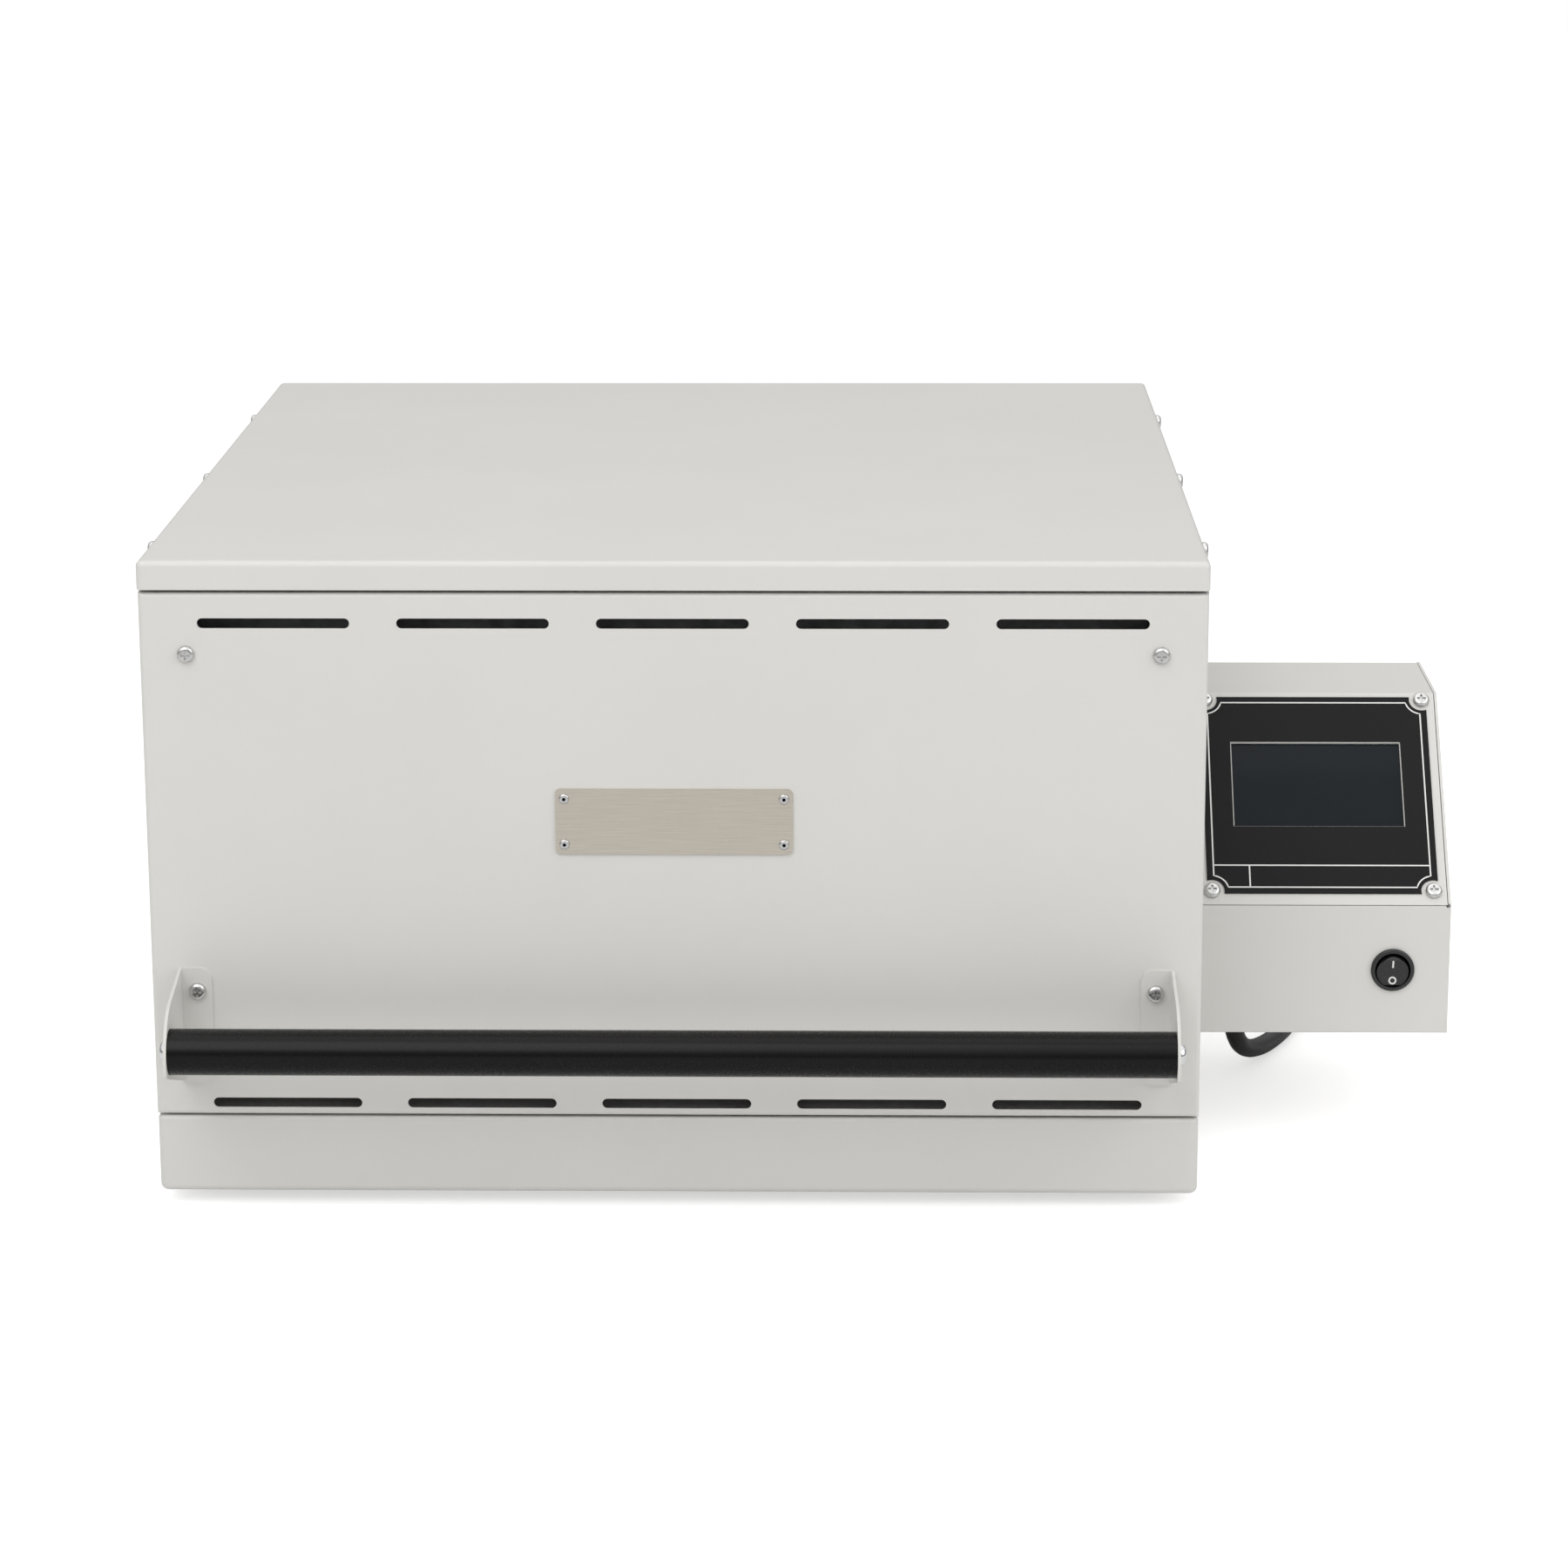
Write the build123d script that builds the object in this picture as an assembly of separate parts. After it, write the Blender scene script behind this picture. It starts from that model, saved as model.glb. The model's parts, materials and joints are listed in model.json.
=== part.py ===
from build123d import *
from math import atan2, hypot, pi, radians, tan
import os

# Electric kiln, in millimetres. X is left to right, Y runs from the front to the back, Z is up.
# The sizes are measured from the middle of the kiln's width, the front of the lid and the floor.
# At the end everything is moved so that the origin is the middle of the base area.

# Outside of the kiln
width = 533.0
depth = 559.6
height = 338.0
foot_height = 8.0
plinth_height = 40.6
plinth_width = 532.2
door_width = 532.2
face_setback = 1.0          # door and plinth faces behind the lid's front
lid_flange = 14.55
lid_gap = 1.45              # between the lid's flange and the door
plinth_gap = 1.05           # between the door and the plinth
sheet = 1.2
thick_sheet = 1.5
bend = 3.0
plinth_bend = 3.5
panel_clearance = 0.8       # between the lid's flange and the panels inside it

# Door and its hinge
door_return = 25.0
door_bend = 2.5
hinge_setback = 7.0         # hinge axis behind the door's face
hinge_drop = 26.0           # hinge axis below the door's top
side_gap = 1.4              # between the door's sides and the panels behind them
swing_clearance = 1.2
frame_clearance = 5.9       # between the swinging top edge and the front frame
pin_radius = 3.0
pin_play = 0.05
pin_seat = 0.02
pin_head_radius = 4.0
pin_head_height = 2.1
pin_ring_radius = 4.6
pin_ring_height = 1.3
arm_thickness = 3.0
arm_radius = 5.6
arm_length = 51.0
washer_radius = 5.2
washer_thickness = 0.9
washer_gap = 0.05
bracket_thickness = 3.0
bracket_radius = 5.3
bracket_reach = 24.0        # straight slope of the bracket behind the axis
bracket_slope = 14.5
bracket_foot_height = 43.5
bracket_foot_width = 25.0
rail_thickness = 1.5
rail_depth = 9.0
rail_front_width = 20.0
rail_back_width = 16.0
rail_side_gap = 12.1        # from the door's side to the rails
rail_end_gap = 16.0
notch_width = 1.2
notch_height = 2.6

# Lining and chamber
lining = 60.0
case_air_gap = 12.0
case_top_gap = 19.4
case_back_gap = 25.0
case_lining_play = 0.2
frame_open_margin = 28.0
hearth_thickness = 10.0
hearth_side_gap = 14.0
hearth_front_gap = 18.0
hearth_corner = 8.0
hearth_chamfer = 1.0
groove_count = 4
grooves_below = 1.34         # free wall under the lowest groove and over the top one, in pitches
grooves_above = 1.8
groove_height = 12.0
groove_depth = 13.0
groove_front = 28.0
coil_radius = 4.5
coil_bend = 9.0
gasket_width = 20.0
gasket_margin = 3.0
gasket_thickness = 2.0
gasket_gap = 0.4
board_margin = 24.6
board_play = 0.4
plug_step = 8.0
plug_clearance = 5.0
board_chamfer = 2.0
inner_pan_lap = 4.1         # of the inner pan on the rails
inner_pan_wall = 24.0

# Vent slots
slot_count = 5
slot_length = 76.0
slot_width = 5.2
slot_pitch = 99.4
top_slots_below_door_top = 13.0
bottom_slots_above_door_bottom = 11.65
rear_slot_inset = 24.0

# Fasteners
m5_head_radius = 4.4
m5_head_height = 2.8
m5_radius = 2.4
m5_hole_radius = 2.6
m5_length = 8.6
recess_length = 4.6
recess_width = 1.1
recess_depth = 1.3
m6_head_radius = 5.3
m6_head_height = 3.4
m6_radius = 2.9
m6_hole_radius = 3.1
m6_length = 14.0
hex_key = 4.0
pan_round = 0.72            # roundness of the heads, as a part of their height
button_round = 0.85
socket_depth = 0.6
cut_reach = 10.0            # half length of a cutter that goes through sheet

# Nameplate
nameplate_width = 119.2
nameplate_height = 33.7
nameplate_thickness = 1.0
nameplate_corner = 2.5
nameplate_centre = 205.0
rivet_pitch_x = 110.4
rivet_pitch_z = 23.6
rivet_radius = 2.6
rivet_height = 1.2
rivet_shank = 1.6
rivet_bore = 0.9
rivet_length = 5.0

# Handle
handle_tube_radius = 11.6
handle_tube_wall = 1.6
handle_axis_forward = 46.0  # tube axis in front of the lid's face
handle_axis_height = 98.0
handle_bracket_inset = 1.8  # from the rails' outer faces
handle_bracket_sheet = 1.5
handle_flange_width = 16.7
handle_ear_front = 59.5
handle_ear_above = 30.0     # ends of the bracket, above and below the tube's axis
handle_ear_below = 30.4
handle_ear_top_slope = 11.2
handle_ear_bottom_slope = 20.5
handle_ear_nose = 29.0
handle_ear_chin = 5.0
handle_flange_corner = 6.0
handle_plug_length = 15.0
handle_screw_above = 18.0
door_screw_inset = 9.4      # from the bracket's outer face
upper_screw_drop = 31.3     # below the door's top

# Screws of the lid
lid_screw_y = (60.0, 254.0, 448.0)
lid_screw_below_top = 6.0

# Control box
box_right = 403.8
box_front = 100.0
box_back = 267.0
box_bottom = 64.0
box_seam = 134.4
box_top = 228.0
box_fold = 189.0            # where the slope meets the top
box_sheet = 1.5
box_seam_gap = 0.4
box_relief = 1.1
box_tab_depth = 13.0
box_slots = 6
box_slot_length = 44.0
box_slot_width = 4.0
box_slot_pitch = 12.0
mount_inset_front = 30.8    # screws in the box's wall, from its front, back and bottom
mount_inset_back = 22.0
mount_inset_low = 13.2
mount_inset_high = 26.1
cover_screw_inset = 26.4
cover_tab_inset = 8.8
box_edge_round = 1.0

# Display on the slope
overlay_right_margin = 6.3  # from the overlay to the box's side
overlay_width = 121.4
overlay_height = 119.8
overlay_bottom = 6.5
overlay_thickness = 0.8
overlay_corner = 6.6
screw_square = 116.5
window_width = 91.0
window_height = 52.1
window_bottom = 46.7
window_rim = 0.5
screen_width = 105.0
screen_height = 67.0
screen_thickness = 8.0
spacer_length = 12.0
spacer_radius = 3.6
board_width = 125.0
board_height = 123.0
board_thickness = 1.6
chip_size = 14.0
chip_height = 2.4
chip_places = ((-28.0, 20.0), (2.0, 24.0), (30.0, 16.0))
relay_can = (18.0, 15.0, 9.0)
relay_can_places = (-30.0, 0.0, 30.0)

# Rocker switch
switch_x = 374.0
switch_z = 99.0
bezel_radius = 11.45
bezel_height = 2.0
bezel_bore = 9.4
barrel_radius = 9.9
barrel_length = 20.0
barrel_floor = 4.0
switch_hole_radius = 10.1
rocker_radius = 8.35
rocker_pivot_depth = 4.2
rocker_crown = 5.4
rocker_swell = 9.7
rocker_back = 4.0
rocker_tilt = 9.0
terminal_blade = (6.3, 9.0, 0.8)

# Inside the control box
lead_y = 225.0
lead_radius = 2.0
lead_bend = 5.5
lead_hole_radius = 2.3
lead_front = 41.0
bush_radius = 5.0
bush_play = 0.2
bush_step = 1.0             # from the bottom of the groove to the bush
terminal_strip_width = 16.0
terminal_strip_depth = 26.0
terminal_strip_margin = 9.0
terminal_first = 88.0       # lowest terminal above the bottom of the box
terminal_pitch = 18.0
clamp_length = 10.0
clamp_size = 9.0
heat_sink_size = (64.0, 58.0, 5.0)
heat_sink_fins = 8
heat_sink_fin_height = 22.0
heat_sink_fin_thickness = 1.6
relay_size = (45.0, 58.0, 24.0)
relay_corner = 2.0
relay_x = 352.0
relay_y = 196.0

# Thermocouple
thermocouple_radius = 4.0
thermocouple_play = 0.3
thermocouple_reach = 40.0
thermocouple_head = (34.0, 13.0, 22.0)
thermocouple_head_corner = 3.0

# Feet
foot_radius = 12.5
foot_taper = 1.5
foot_inset = 45.0
foot_recess_radius = 5.2
foot_recess_depth = 4.6
foot_screw_length = 12.0
foot_hole_radius = 2.8

# Mains cord: where it comes out, and its route over the floor to the coil behind the kiln
cord_radius = 5.2
gland_x = 301.0
gland_y = 226.0
gland_hex = 11.5
gland_hex_height = 6.0
gland_barrel_radius = 8.0
gland_barrel_height = 13.0
gland_taper_top = 9.4
gland_taper_bottom = 6.7
gland_taper_length = 20.0
gland_nut_height = 5.0
floor_lift = 0.2
coil_centre_x = 170.0
coil_centre_y = 668.0
coil_outer_turn = 62.4
coil_inner_turn = 52.0
coil_margin = 0.5
cord_drop = 12.0
cord_bend_point = (308.0, 237.0, 11.0)
cord_floor_points = ((322, 262), (338, 298), (350, 345), (356, 400), (354, 452), (345, 500), (331, 541),
                     (309, 574), (280, 596))
cord_arrival = (245, 202)
tail_level = (32.0, 54.0)
tail_end = ((74.0, 2.0), (94.0, 5.0))
plug_radius = 14.0
plug_length = 38.0
plug_neck_length = 22.0
plug_neck_radius = 6.6
plug_neck_wide_radius = 8.6
plug_shoulder = 6.0
plug_edge = 1.5
plug_blade = (1.6, 17.5, 6.4)
plug_blade_pitch = 12.7
plug_earth_radius = 2.4
plug_earth_length = 20.0
plug_earth_drop = 8.2

# Places worked out from those sizes
half_width = width / 2
plinth_top = foot_height + plinth_height
door_top = height - lid_flange - lid_gap
door_bottom = plinth_top + plinth_gap
door_face = face_setback
door_skin = door_face + sheet
door_back = door_face + door_return
door_half = door_width / 2
rail_outer = door_half - rail_side_gap
handle_bracket_outer = rail_outer - handle_bracket_inset
door_screw_x = handle_bracket_outer - door_screw_inset
hinge_y = door_face + hinge_setback
hinge_z = door_top - hinge_drop
sweep_radius = hypot(hinge_setback, hinge_drop)
panel_outer = half_width - sheet - panel_clearance
panel_inner = panel_outer - sheet
panel_front = door_back + side_gap
lid_seat = 0.4 * (bend - sheet)     # keeps the panels' tops clear of the round inside the lid
panel_top = height - sheet - lid_seat
rear_outer = depth - sheet - panel_clearance
rear_inner = rear_outer - sheet
frame_front = hinge_y + sweep_radius + frame_clearance
lining_front = frame_front + sheet
case_outer = panel_inner - case_air_gap
case_inner = case_outer - sheet
lining_outer = case_inner - case_lining_play
chamber_half = lining_outer - lining
case_back = rear_inner - case_back_gap
lining_back = case_back - sheet - case_lining_play
chamber_back = lining_back - lining
case_top = height - case_top_gap
lining_bottom = plinth_top + sheet
lining_top = case_top - sheet - case_lining_play
chamber_bottom = lining_bottom + lining
chamber_top = lining_top - lining
groove_pitch = (chamber_top - chamber_bottom) / (groove_count - 1 + grooves_below + grooves_above)
rail_back = door_skin + rail_depth
board_back = lining_front - gasket_thickness - gasket_gap
coil_side = chamber_half + groove_depth / 2
coil_back = chamber_back + groove_depth / 2
groove_start = lining_front + groove_front
groove_z = [chamber_bottom + (grooves_below + i) * groove_pitch for i in range(groove_count)]
terminal_z = [box_bottom + terminal_first + i * terminal_pitch for i in range(groove_count)]
air_gap_middle = (case_outer + panel_inner) / 2
display_x = box_right - overlay_right_margin - overlay_width / 2
slope_length = hypot(box_fold - box_front, box_top - box_seam)
handle_ear_top = handle_axis_height + handle_ear_above
handle_ear_bottom = handle_axis_height - handle_ear_below
slope_sin = (box_fold - box_front) / slope_length
slope_cos = (box_top - box_seam) / slope_length
box_left = panel_outer
gland_end = box_bottom - gland_hex_height - gland_taper_length
cord_rest = cord_radius + floor_lift
tail_height = cord_rest + 2 * cord_radius


# Small helpers
def block(x0, x1, y0, y1, z0, z1):
    middle = Pos((x0 + x1) / 2, (y0 + y1) / 2, (z0 + z1) / 2)
    return middle * Box(abs(x1 - x0), abs(y1 - y0), abs(z1 - z0))


def at(shape, point, direction):
    return Plane(origin=point, z_dir=direction) * shape


def rod(start, end, radius):
    # round bar from one point to another
    line = Vector(*end) - Vector(*start)
    middle = (Vector(*start) + Vector(*end)) / 2
    return Plane(origin=middle, z_dir=line) * Cylinder(radius, line.length)


def side_profile(points, x0, x1):
    # outline given as (y, z) pairs, made solid from x0 to x1
    outline = Plane.YZ.offset(x0) * Polygon(*points, align=None)
    return extrude(outline, amount=x1 - x0, dir=(1, 0, 0))


def group(shapes):
    return Compound([solid for shape in shapes for solid in shape.solids()])


def mirrored(shape):
    return mirror(shape, about=Plane.YZ)


def both_sides(shape):
    return group([shape, mirrored(shape)])


def cut_all(shape, cutters):
    for cutter in cutters:
        shape = shape - cutter
    return shape


def upright(x, y, z):
    # plane facing the front, at one point of the face
    return Plane(origin=(x, y, z), x_dir=(1, 0, 0), z_dir=(0, -1, 0))


def slope_plane(x, up, out=0.0):
    # plane on the sloping face: up is measured from the seam, out is in front of the sheet
    y = box_front + up * slope_sin - out * slope_cos
    z = box_seam + up * slope_cos + out * slope_sin
    return Plane(origin=(x, y, z), x_dir=(1, 0, 0), z_dir=(0, -slope_cos, slope_sin))


def slot_cutter(x, y, z, length, slot, reach):
    return extrude(upright(x, y, z) * SlotOverall(length, slot), amount=reach, both=True)


def slot_row(y, z, reach):
    places = [(i - (slot_count - 1) / 2) * slot_pitch for i in range(slot_count)]
    return [slot_cutter(x, y, z, slot_length, slot_width, reach) for x in places]


def cross_recess(top, size):
    bars = Box(size, recess_width, recess_depth) + Box(recess_width, size, recess_depth)
    return Pos(0, 0, top - recess_depth / 2) * bars


def pan_screw(length):
    # pan head above z = 0, shank below it
    head = Pos(0, 0, m5_head_height / 2) * Cylinder(m5_head_radius, m5_head_height)
    head = fillet(head.edges().sort_by(Axis.Z)[-1], m5_head_height * pan_round)
    head = head - cross_recess(m5_head_height, recess_length)
    return head + Pos(0, 0, -length / 2) * Cylinder(m5_radius, length)


def button_screw(length):
    # domed head with a hexagonal socket
    head = Pos(0, 0, m6_head_height / 2) * Cylinder(m6_head_radius, m6_head_height)
    head = fillet(head.edges().sort_by(Axis.Z)[-1], m6_head_height * button_round)
    socket = extrude(RegularPolygon(hex_key / 2, 6, major_radius=False), amount=m6_head_height * socket_depth)
    head = head - Pos(0, 0, m6_head_height * (1 - socket_depth)) * socket
    return head + Pos(0, 0, -length / 2) * Cylinder(m6_radius, length)


# Outer case
def top_cover():
    flange_bottom = height - lid_flange
    outer = block(-half_width, half_width, 0, depth, flange_bottom, height)
    outer = fillet(outer.edges().filter_by(Axis.Z), bend)
    outer = fillet(outer.faces().sort_by(Axis.Z)[-1].edges(), bend * 0.98)
    half = half_width - sheet
    inside = block(-half, half, sheet, depth - sheet, flange_bottom, height - sheet)
    inside = fillet(inside.edges().filter_by(Axis.Z), bend - sheet)
    inside = fillet(inside.faces().sort_by(Axis.Z)[-1].edges(), (bend - sheet) * 0.98)
    return cut_all(outer - inside, [screw_hole(place) for place in lid_screw_places()])


def lid_screw_places():
    z = height - lid_screw_below_top
    return [((side * half_width, y, z), (side, 0, 0)) for side in (-1, 1) for y in lid_screw_y]


def screw_hole(place, reach=m5_length + 1):
    point, direction = place
    return at(Cylinder(m5_hole_radius, 2 * reach), point, direction)


def case_screws():
    # the lid's, the rear panel's and the control box's screws are all alike
    places = lid_screw_places() + rear_screw_places() + box_mount_places() + box_cover_screw_places()
    return group([at(pan_screw(m5_length), point, direction) for point, direction in places])


def side_panel():
    # right-hand panel: a sheet with flanges turned in at the bottom and at the back
    flange = case_air_gap - sheet
    plate = block(panel_inner, panel_outer, panel_front, rear_inner, plinth_top, panel_top)
    turned = panel_outer - flange
    plate += block(turned, panel_outer, lining_front, rear_inner, plinth_top, plinth_top + sheet)
    plate += block(turned, panel_outer, rear_inner - sheet, rear_inner, plinth_top, panel_top)
    swing = sweep_radius + swing_clearance
    plate -= rod((panel_inner - flange, hinge_y, hinge_z), (half_width, hinge_y, hinge_z), swing)
    for point, direction in lid_screw_places():
        if direction[0] > 0:
            plate = plate - screw_hole((point, direction))
    return cut_all(plate, [screw_hole(place) for place in rear_screw_places()])


def right_side_panel():
    panel = side_panel()
    for z in terminal_z:
        panel -= rod((panel_inner - 1, lead_y, z), (panel_outer + 1, lead_y, z), lead_hole_radius)
    return cut_all(panel, [screw_hole(place) for place in box_mount_places()])


def rear_screw_places():
    top = height - lid_flange - rear_slot_inset / 2
    low = plinth_top + rear_slot_inset / 2
    x = panel_outer - (case_air_gap - sheet) / 2 - sheet / 2
    return [((side * x, rear_outer, z), (0, 1, 0)) for side in (-1, 1) for z in (low, top)]


def rear_panel():
    panel = block(-panel_outer, panel_outer, rear_inner, rear_outer, plinth_top, panel_top)
    rows = (plinth_top + rear_slot_inset, height - lid_flange - rear_slot_inset)
    for z in rows:
        panel = cut_all(panel, slot_row(rear_outer, z, 2 * sheet))
    return cut_all(panel, [screw_hole(place) for place in rear_screw_places()])


def foot_places():
    x = plinth_width / 2 - foot_inset
    front = door_face + foot_inset
    back = depth - face_setback - foot_inset
    return [(sx * x, y) for y in (front, back) for sx in (-1, 1)]


def base_tray():
    half = plinth_width / 2
    back = depth - face_setback
    outer = block(-half, half, door_face, back, foot_height, plinth_top)
    outer = fillet(outer.edges().filter_by(Axis.Z), plinth_bend + 1)
    outer = fillet(outer.faces().sort_by(Axis.Z)[0].edges(), plinth_bend)
    outer = fillet(outer.faces().sort_by(Axis.Z)[-1].edges(), plinth_bend * 0.6)
    wall = thick_sheet
    inside = block(-half + wall, half - wall, door_face + wall, back - wall,
                   foot_height + wall, plinth_top - wall)
    inside = fillet(inside.edges().filter_by(Axis.Z), plinth_bend)
    inside = fillet(inside.faces().sort_by(Axis.Z)[0].edges(), plinth_bend - wall)
    lip = half - case_outer + lid_flange
    front_lip = lining_front + lid_flange
    opening = block(-half + lip, half - lip, front_lip, back - lip, plinth_top - 2 * wall, plinth_top + 1)
    tray = outer - inside - opening
    for x, y in foot_places():
        tray -= rod((x, y, 0), (x, y, foot_height + 2 * wall), foot_hole_radius)
    return tray


def rubber_foot():
    foot = Pos(0, 0, foot_height / 2) * Cone(foot_radius - foot_taper, foot_radius, foot_height)
    foot -= Pos(0, 0, foot_recess_depth / 2) * Cylinder(foot_recess_radius, foot_recess_depth)
    return foot - Pos(0, 0, foot_height / 2) * Cylinder(foot_hole_radius, foot_height)


def rubber_feet():
    return group([Pos(x, y, 0) * rubber_foot() for x, y in foot_places()])


def foot_screws():
    places = [(x, y, foot_recess_depth) for x, y in foot_places()]
    return group([at(pan_screw(foot_screw_length), place, (0, 0, -1)) for place in places])


# Inner case and lining
def inner_case():
    outer = block(-case_outer, case_outer, lining_front, case_back, plinth_top, case_top)
    inside = block(-case_inner, case_inner, 0, case_back - sheet, plinth_top + sheet, case_top - sheet)
    case = outer - inside
    y = lead_front_y()
    for z in groove_z:
        case -= rod((case_inner - 1, y, z), (case_outer + 1, y, z), bush_radius + bush_play)
    hole = thermocouple_radius + thermocouple_play
    return case - rod((0, case_back - 2, thermocouple_z()), (0, case_back + 1, thermocouple_z()), hole)


def lead_front_y():
    return lining_front + lead_front


def thermocouple_z():
    return (groove_z[-1] + chamber_top) / 2


def front_frame():
    inside_lid = panel_inner - box_seam_gap
    frame = block(-inside_lid, inside_lid, frame_front, lining_front, plinth_top, panel_top)
    half = chamber_half + frame_open_margin
    low = chamber_bottom - frame_open_margin
    high = chamber_top + frame_open_margin
    return frame - block(-half, half, 0, depth, low, high)


def lining_floor():
    return block(-lining_outer, lining_outer, lining_front, lining_back, lining_bottom, chamber_bottom)


def lining_roof():
    return block(-lining_outer, lining_outer, lining_front, lining_back, chamber_top, lining_top)


def lining_side():
    # right-hand board, with the grooves for the elements
    board = block(chamber_half, lining_outer, lining_front, lining_back, chamber_bottom, chamber_top)
    deep = chamber_half + groove_depth
    half = groove_height / 2
    for z in groove_z:
        board -= block(chamber_half - 1, deep, groove_start, chamber_back + groove_depth, z - half, z + half)
    return board


def lining_left():
    # the element turns from one groove to the next at the front of this board
    board = mirrored(lining_side())
    half = groove_height / 2
    for low, high in groove_pairs():
        board -= block(-chamber_half + 1, -chamber_half - groove_depth,
                       groove_start, groove_start + 2 * half, low - half, high + half)
    return board


def lining_right():
    board = lining_side()
    y = lead_front_y()
    for z in groove_z:
        board -= rod((chamber_half, y, z), (lining_outer + 1, y, z), bush_radius + bush_play)
    return board


def lining_rear():
    board = block(-chamber_half, chamber_half, chamber_back, lining_back, chamber_bottom, chamber_top)
    half = groove_height / 2
    deep = chamber_back + groove_depth
    for z in groove_z:
        board -= block(-chamber_half, chamber_half, chamber_back - 1, deep, z - half, z + half)
    hole = thermocouple_radius + thermocouple_play
    return board - rod((0, chamber_back - 1, thermocouple_z()), (0, lining_back + 1, thermocouple_z()), hole)


def hearth_plate():
    half = chamber_half - hearth_side_gap
    plate = block(-half, half, lining_front + hearth_front_gap, chamber_back - hearth_side_gap,
                  chamber_bottom, chamber_bottom + hearth_thickness)
    plate = fillet(plate.edges().filter_by(Axis.Z), hearth_corner)
    return chamfer(plate.faces().sort_by(Axis.Z)[-1].edges(), hearth_chamfer)


def groove_pairs():
    return [(groove_z[i], groove_z[i + 1]) for i in range(0, groove_count, 2)]


def element(low, high):
    # one coil: back along the right wall, across the back, forward on the left, up, and the same way home
    front = groove_start + groove_height / 2
    start = lead_front_y() - lead_radius
    points = [(coil_side, start, low), (coil_side, coil_back, low), (-coil_side, coil_back, low),
              (-coil_side, front, low), (-coil_side, front, high), (-coil_side, coil_back, high),
              (coil_side, coil_back, high), (coil_side, start, high)]
    path = FilletPolyline(*points, radius=min(coil_bend, groove_pitch * 0.45))
    ring = Plane(origin=path @ 0, z_dir=path % 0) * Circle(coil_radius)
    return sweep(ring, path=path)


def element_leads():
    # from each end of a coil out through the wall, back along the air gap, and into the control box
    leads = []
    end = box_left + box_sheet + terminal_strip_width + clamp_length / 2
    for z, strip_z in zip(groove_z, terminal_z):
        points = [(coil_side + coil_radius, lead_front_y(), z), (air_gap_middle, lead_front_y(), z),
                  (air_gap_middle, lead_y, strip_z), (end, lead_y, strip_z)]
        path = FilletPolyline(*points, radius=lead_bend)
        ring = Plane(origin=path @ 0, z_dir=path % 0) * Circle(lead_radius)
        leads.append(sweep(ring, path=path))
    return group(leads)


def lead_bushes():
    inner = chamber_half + groove_depth + bush_step
    outer = case_outer + sheet
    y = lead_front_y()
    bushes = []
    for z in groove_z:
        bush = rod((inner, y, z), (outer, y, z), bush_radius)
        bushes.append(bush - rod((inner - 1, y, z), (outer + 1, y, z), lead_hole_radius))
    return group(bushes)


def thermocouple_tube():
    start = (0, chamber_back - thermocouple_reach, thermocouple_z())
    end = (0, case_back + thermocouple_head[1], thermocouple_z())
    tube = rod(start, end, thermocouple_radius)
    return fillet(tube.edges().filter_by(GeomType.CIRCLE).sort_by(Axis.Y)[0], thermocouple_radius * 0.9)


def thermocouple_block():
    wide, deep, tall = thermocouple_head
    z = thermocouple_z()
    head = block(-wide / 2, wide / 2, case_back, case_back + deep, z - tall / 2, z + tall / 2)
    head = fillet(head.edges().filter_by(Axis.Y), thermocouple_head_corner)
    return head - rod((0, case_back - 1, z), (0, case_back + deep + 1, z), thermocouple_radius + pin_seat)


def door_gasket():
    def ring(margin):
        half = chamber_half + margin
        return (-half, half, chamber_bottom - margin, chamber_top + margin)
    x0, x1, z0, z1 = ring(gasket_margin + gasket_width)
    front = lining_front - gasket_thickness
    seal = block(x0, x1, front, lining_front, z0, z1)
    seal = fillet(seal.edges().filter_by(Axis.Y), gasket_width)
    x0, x1, z0, z1 = ring(gasket_margin)
    return seal - block(x0, x1, 0, depth, z0, z1)


# Hinge
def hinge_bracket():
    # welded to the front frame; its plate reaches forward to the pin
    x0 = rail_outer + arm_thickness + washer_thickness + 2 * washer_gap
    x1 = x0 + bracket_thickness
    foot_top = hinge_z - bracket_slope
    foot_bottom = foot_top - bracket_foot_height
    points = [(hinge_y, hinge_z + bracket_radius), (hinge_y + bracket_reach, foot_top),
              (frame_front, foot_top), (frame_front, foot_bottom),
              (frame_front - 2 * bracket_thickness, foot_bottom),
              (hinge_y - bracket_radius / 2, hinge_z - bracket_radius * 0.86)]
    plate = side_profile(points, x0, x1)
    plate += rod((x0, hinge_y, hinge_z), (x1, hinge_y, hinge_z), bracket_radius)
    plate += block(x1 - bracket_foot_width, x1, frame_front - bracket_thickness, frame_front,
                   foot_bottom, foot_top)
    return plate - rod((x0 - 1, hinge_y, hinge_z), (x1 + 1, hinge_y, hinge_z), pin_radius + pin_seat)


def hinge_pin():
    head_inner = rail_outer - pin_head_height - 2 * washer_gap
    head_outer = rail_outer - 2 * washer_gap
    ring_inner = rail_outer + arm_thickness + washer_thickness + bracket_thickness + 3 * washer_gap
    ring_outer = ring_inner + pin_ring_height
    pin = rod((head_inner, hinge_y, hinge_z), (ring_outer, hinge_y, hinge_z), pin_radius)
    pin += rod((head_inner, hinge_y, hinge_z), (head_outer, hinge_y, hinge_z), pin_head_radius)
    return pin + rod((ring_inner, hinge_y, hinge_z), (ring_outer, hinge_y, hinge_z), pin_ring_radius)


def hinge_washer():
    x0 = rail_outer + arm_thickness + washer_gap
    x1 = x0 + washer_thickness
    ring = rod((x0, hinge_y, hinge_z), (x1, hinge_y, hinge_z), washer_radius)
    return ring - rod((x0 - 1, hinge_y, hinge_z), (x1 + 1, hinge_y, hinge_z), pin_radius + pin_seat)


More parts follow.
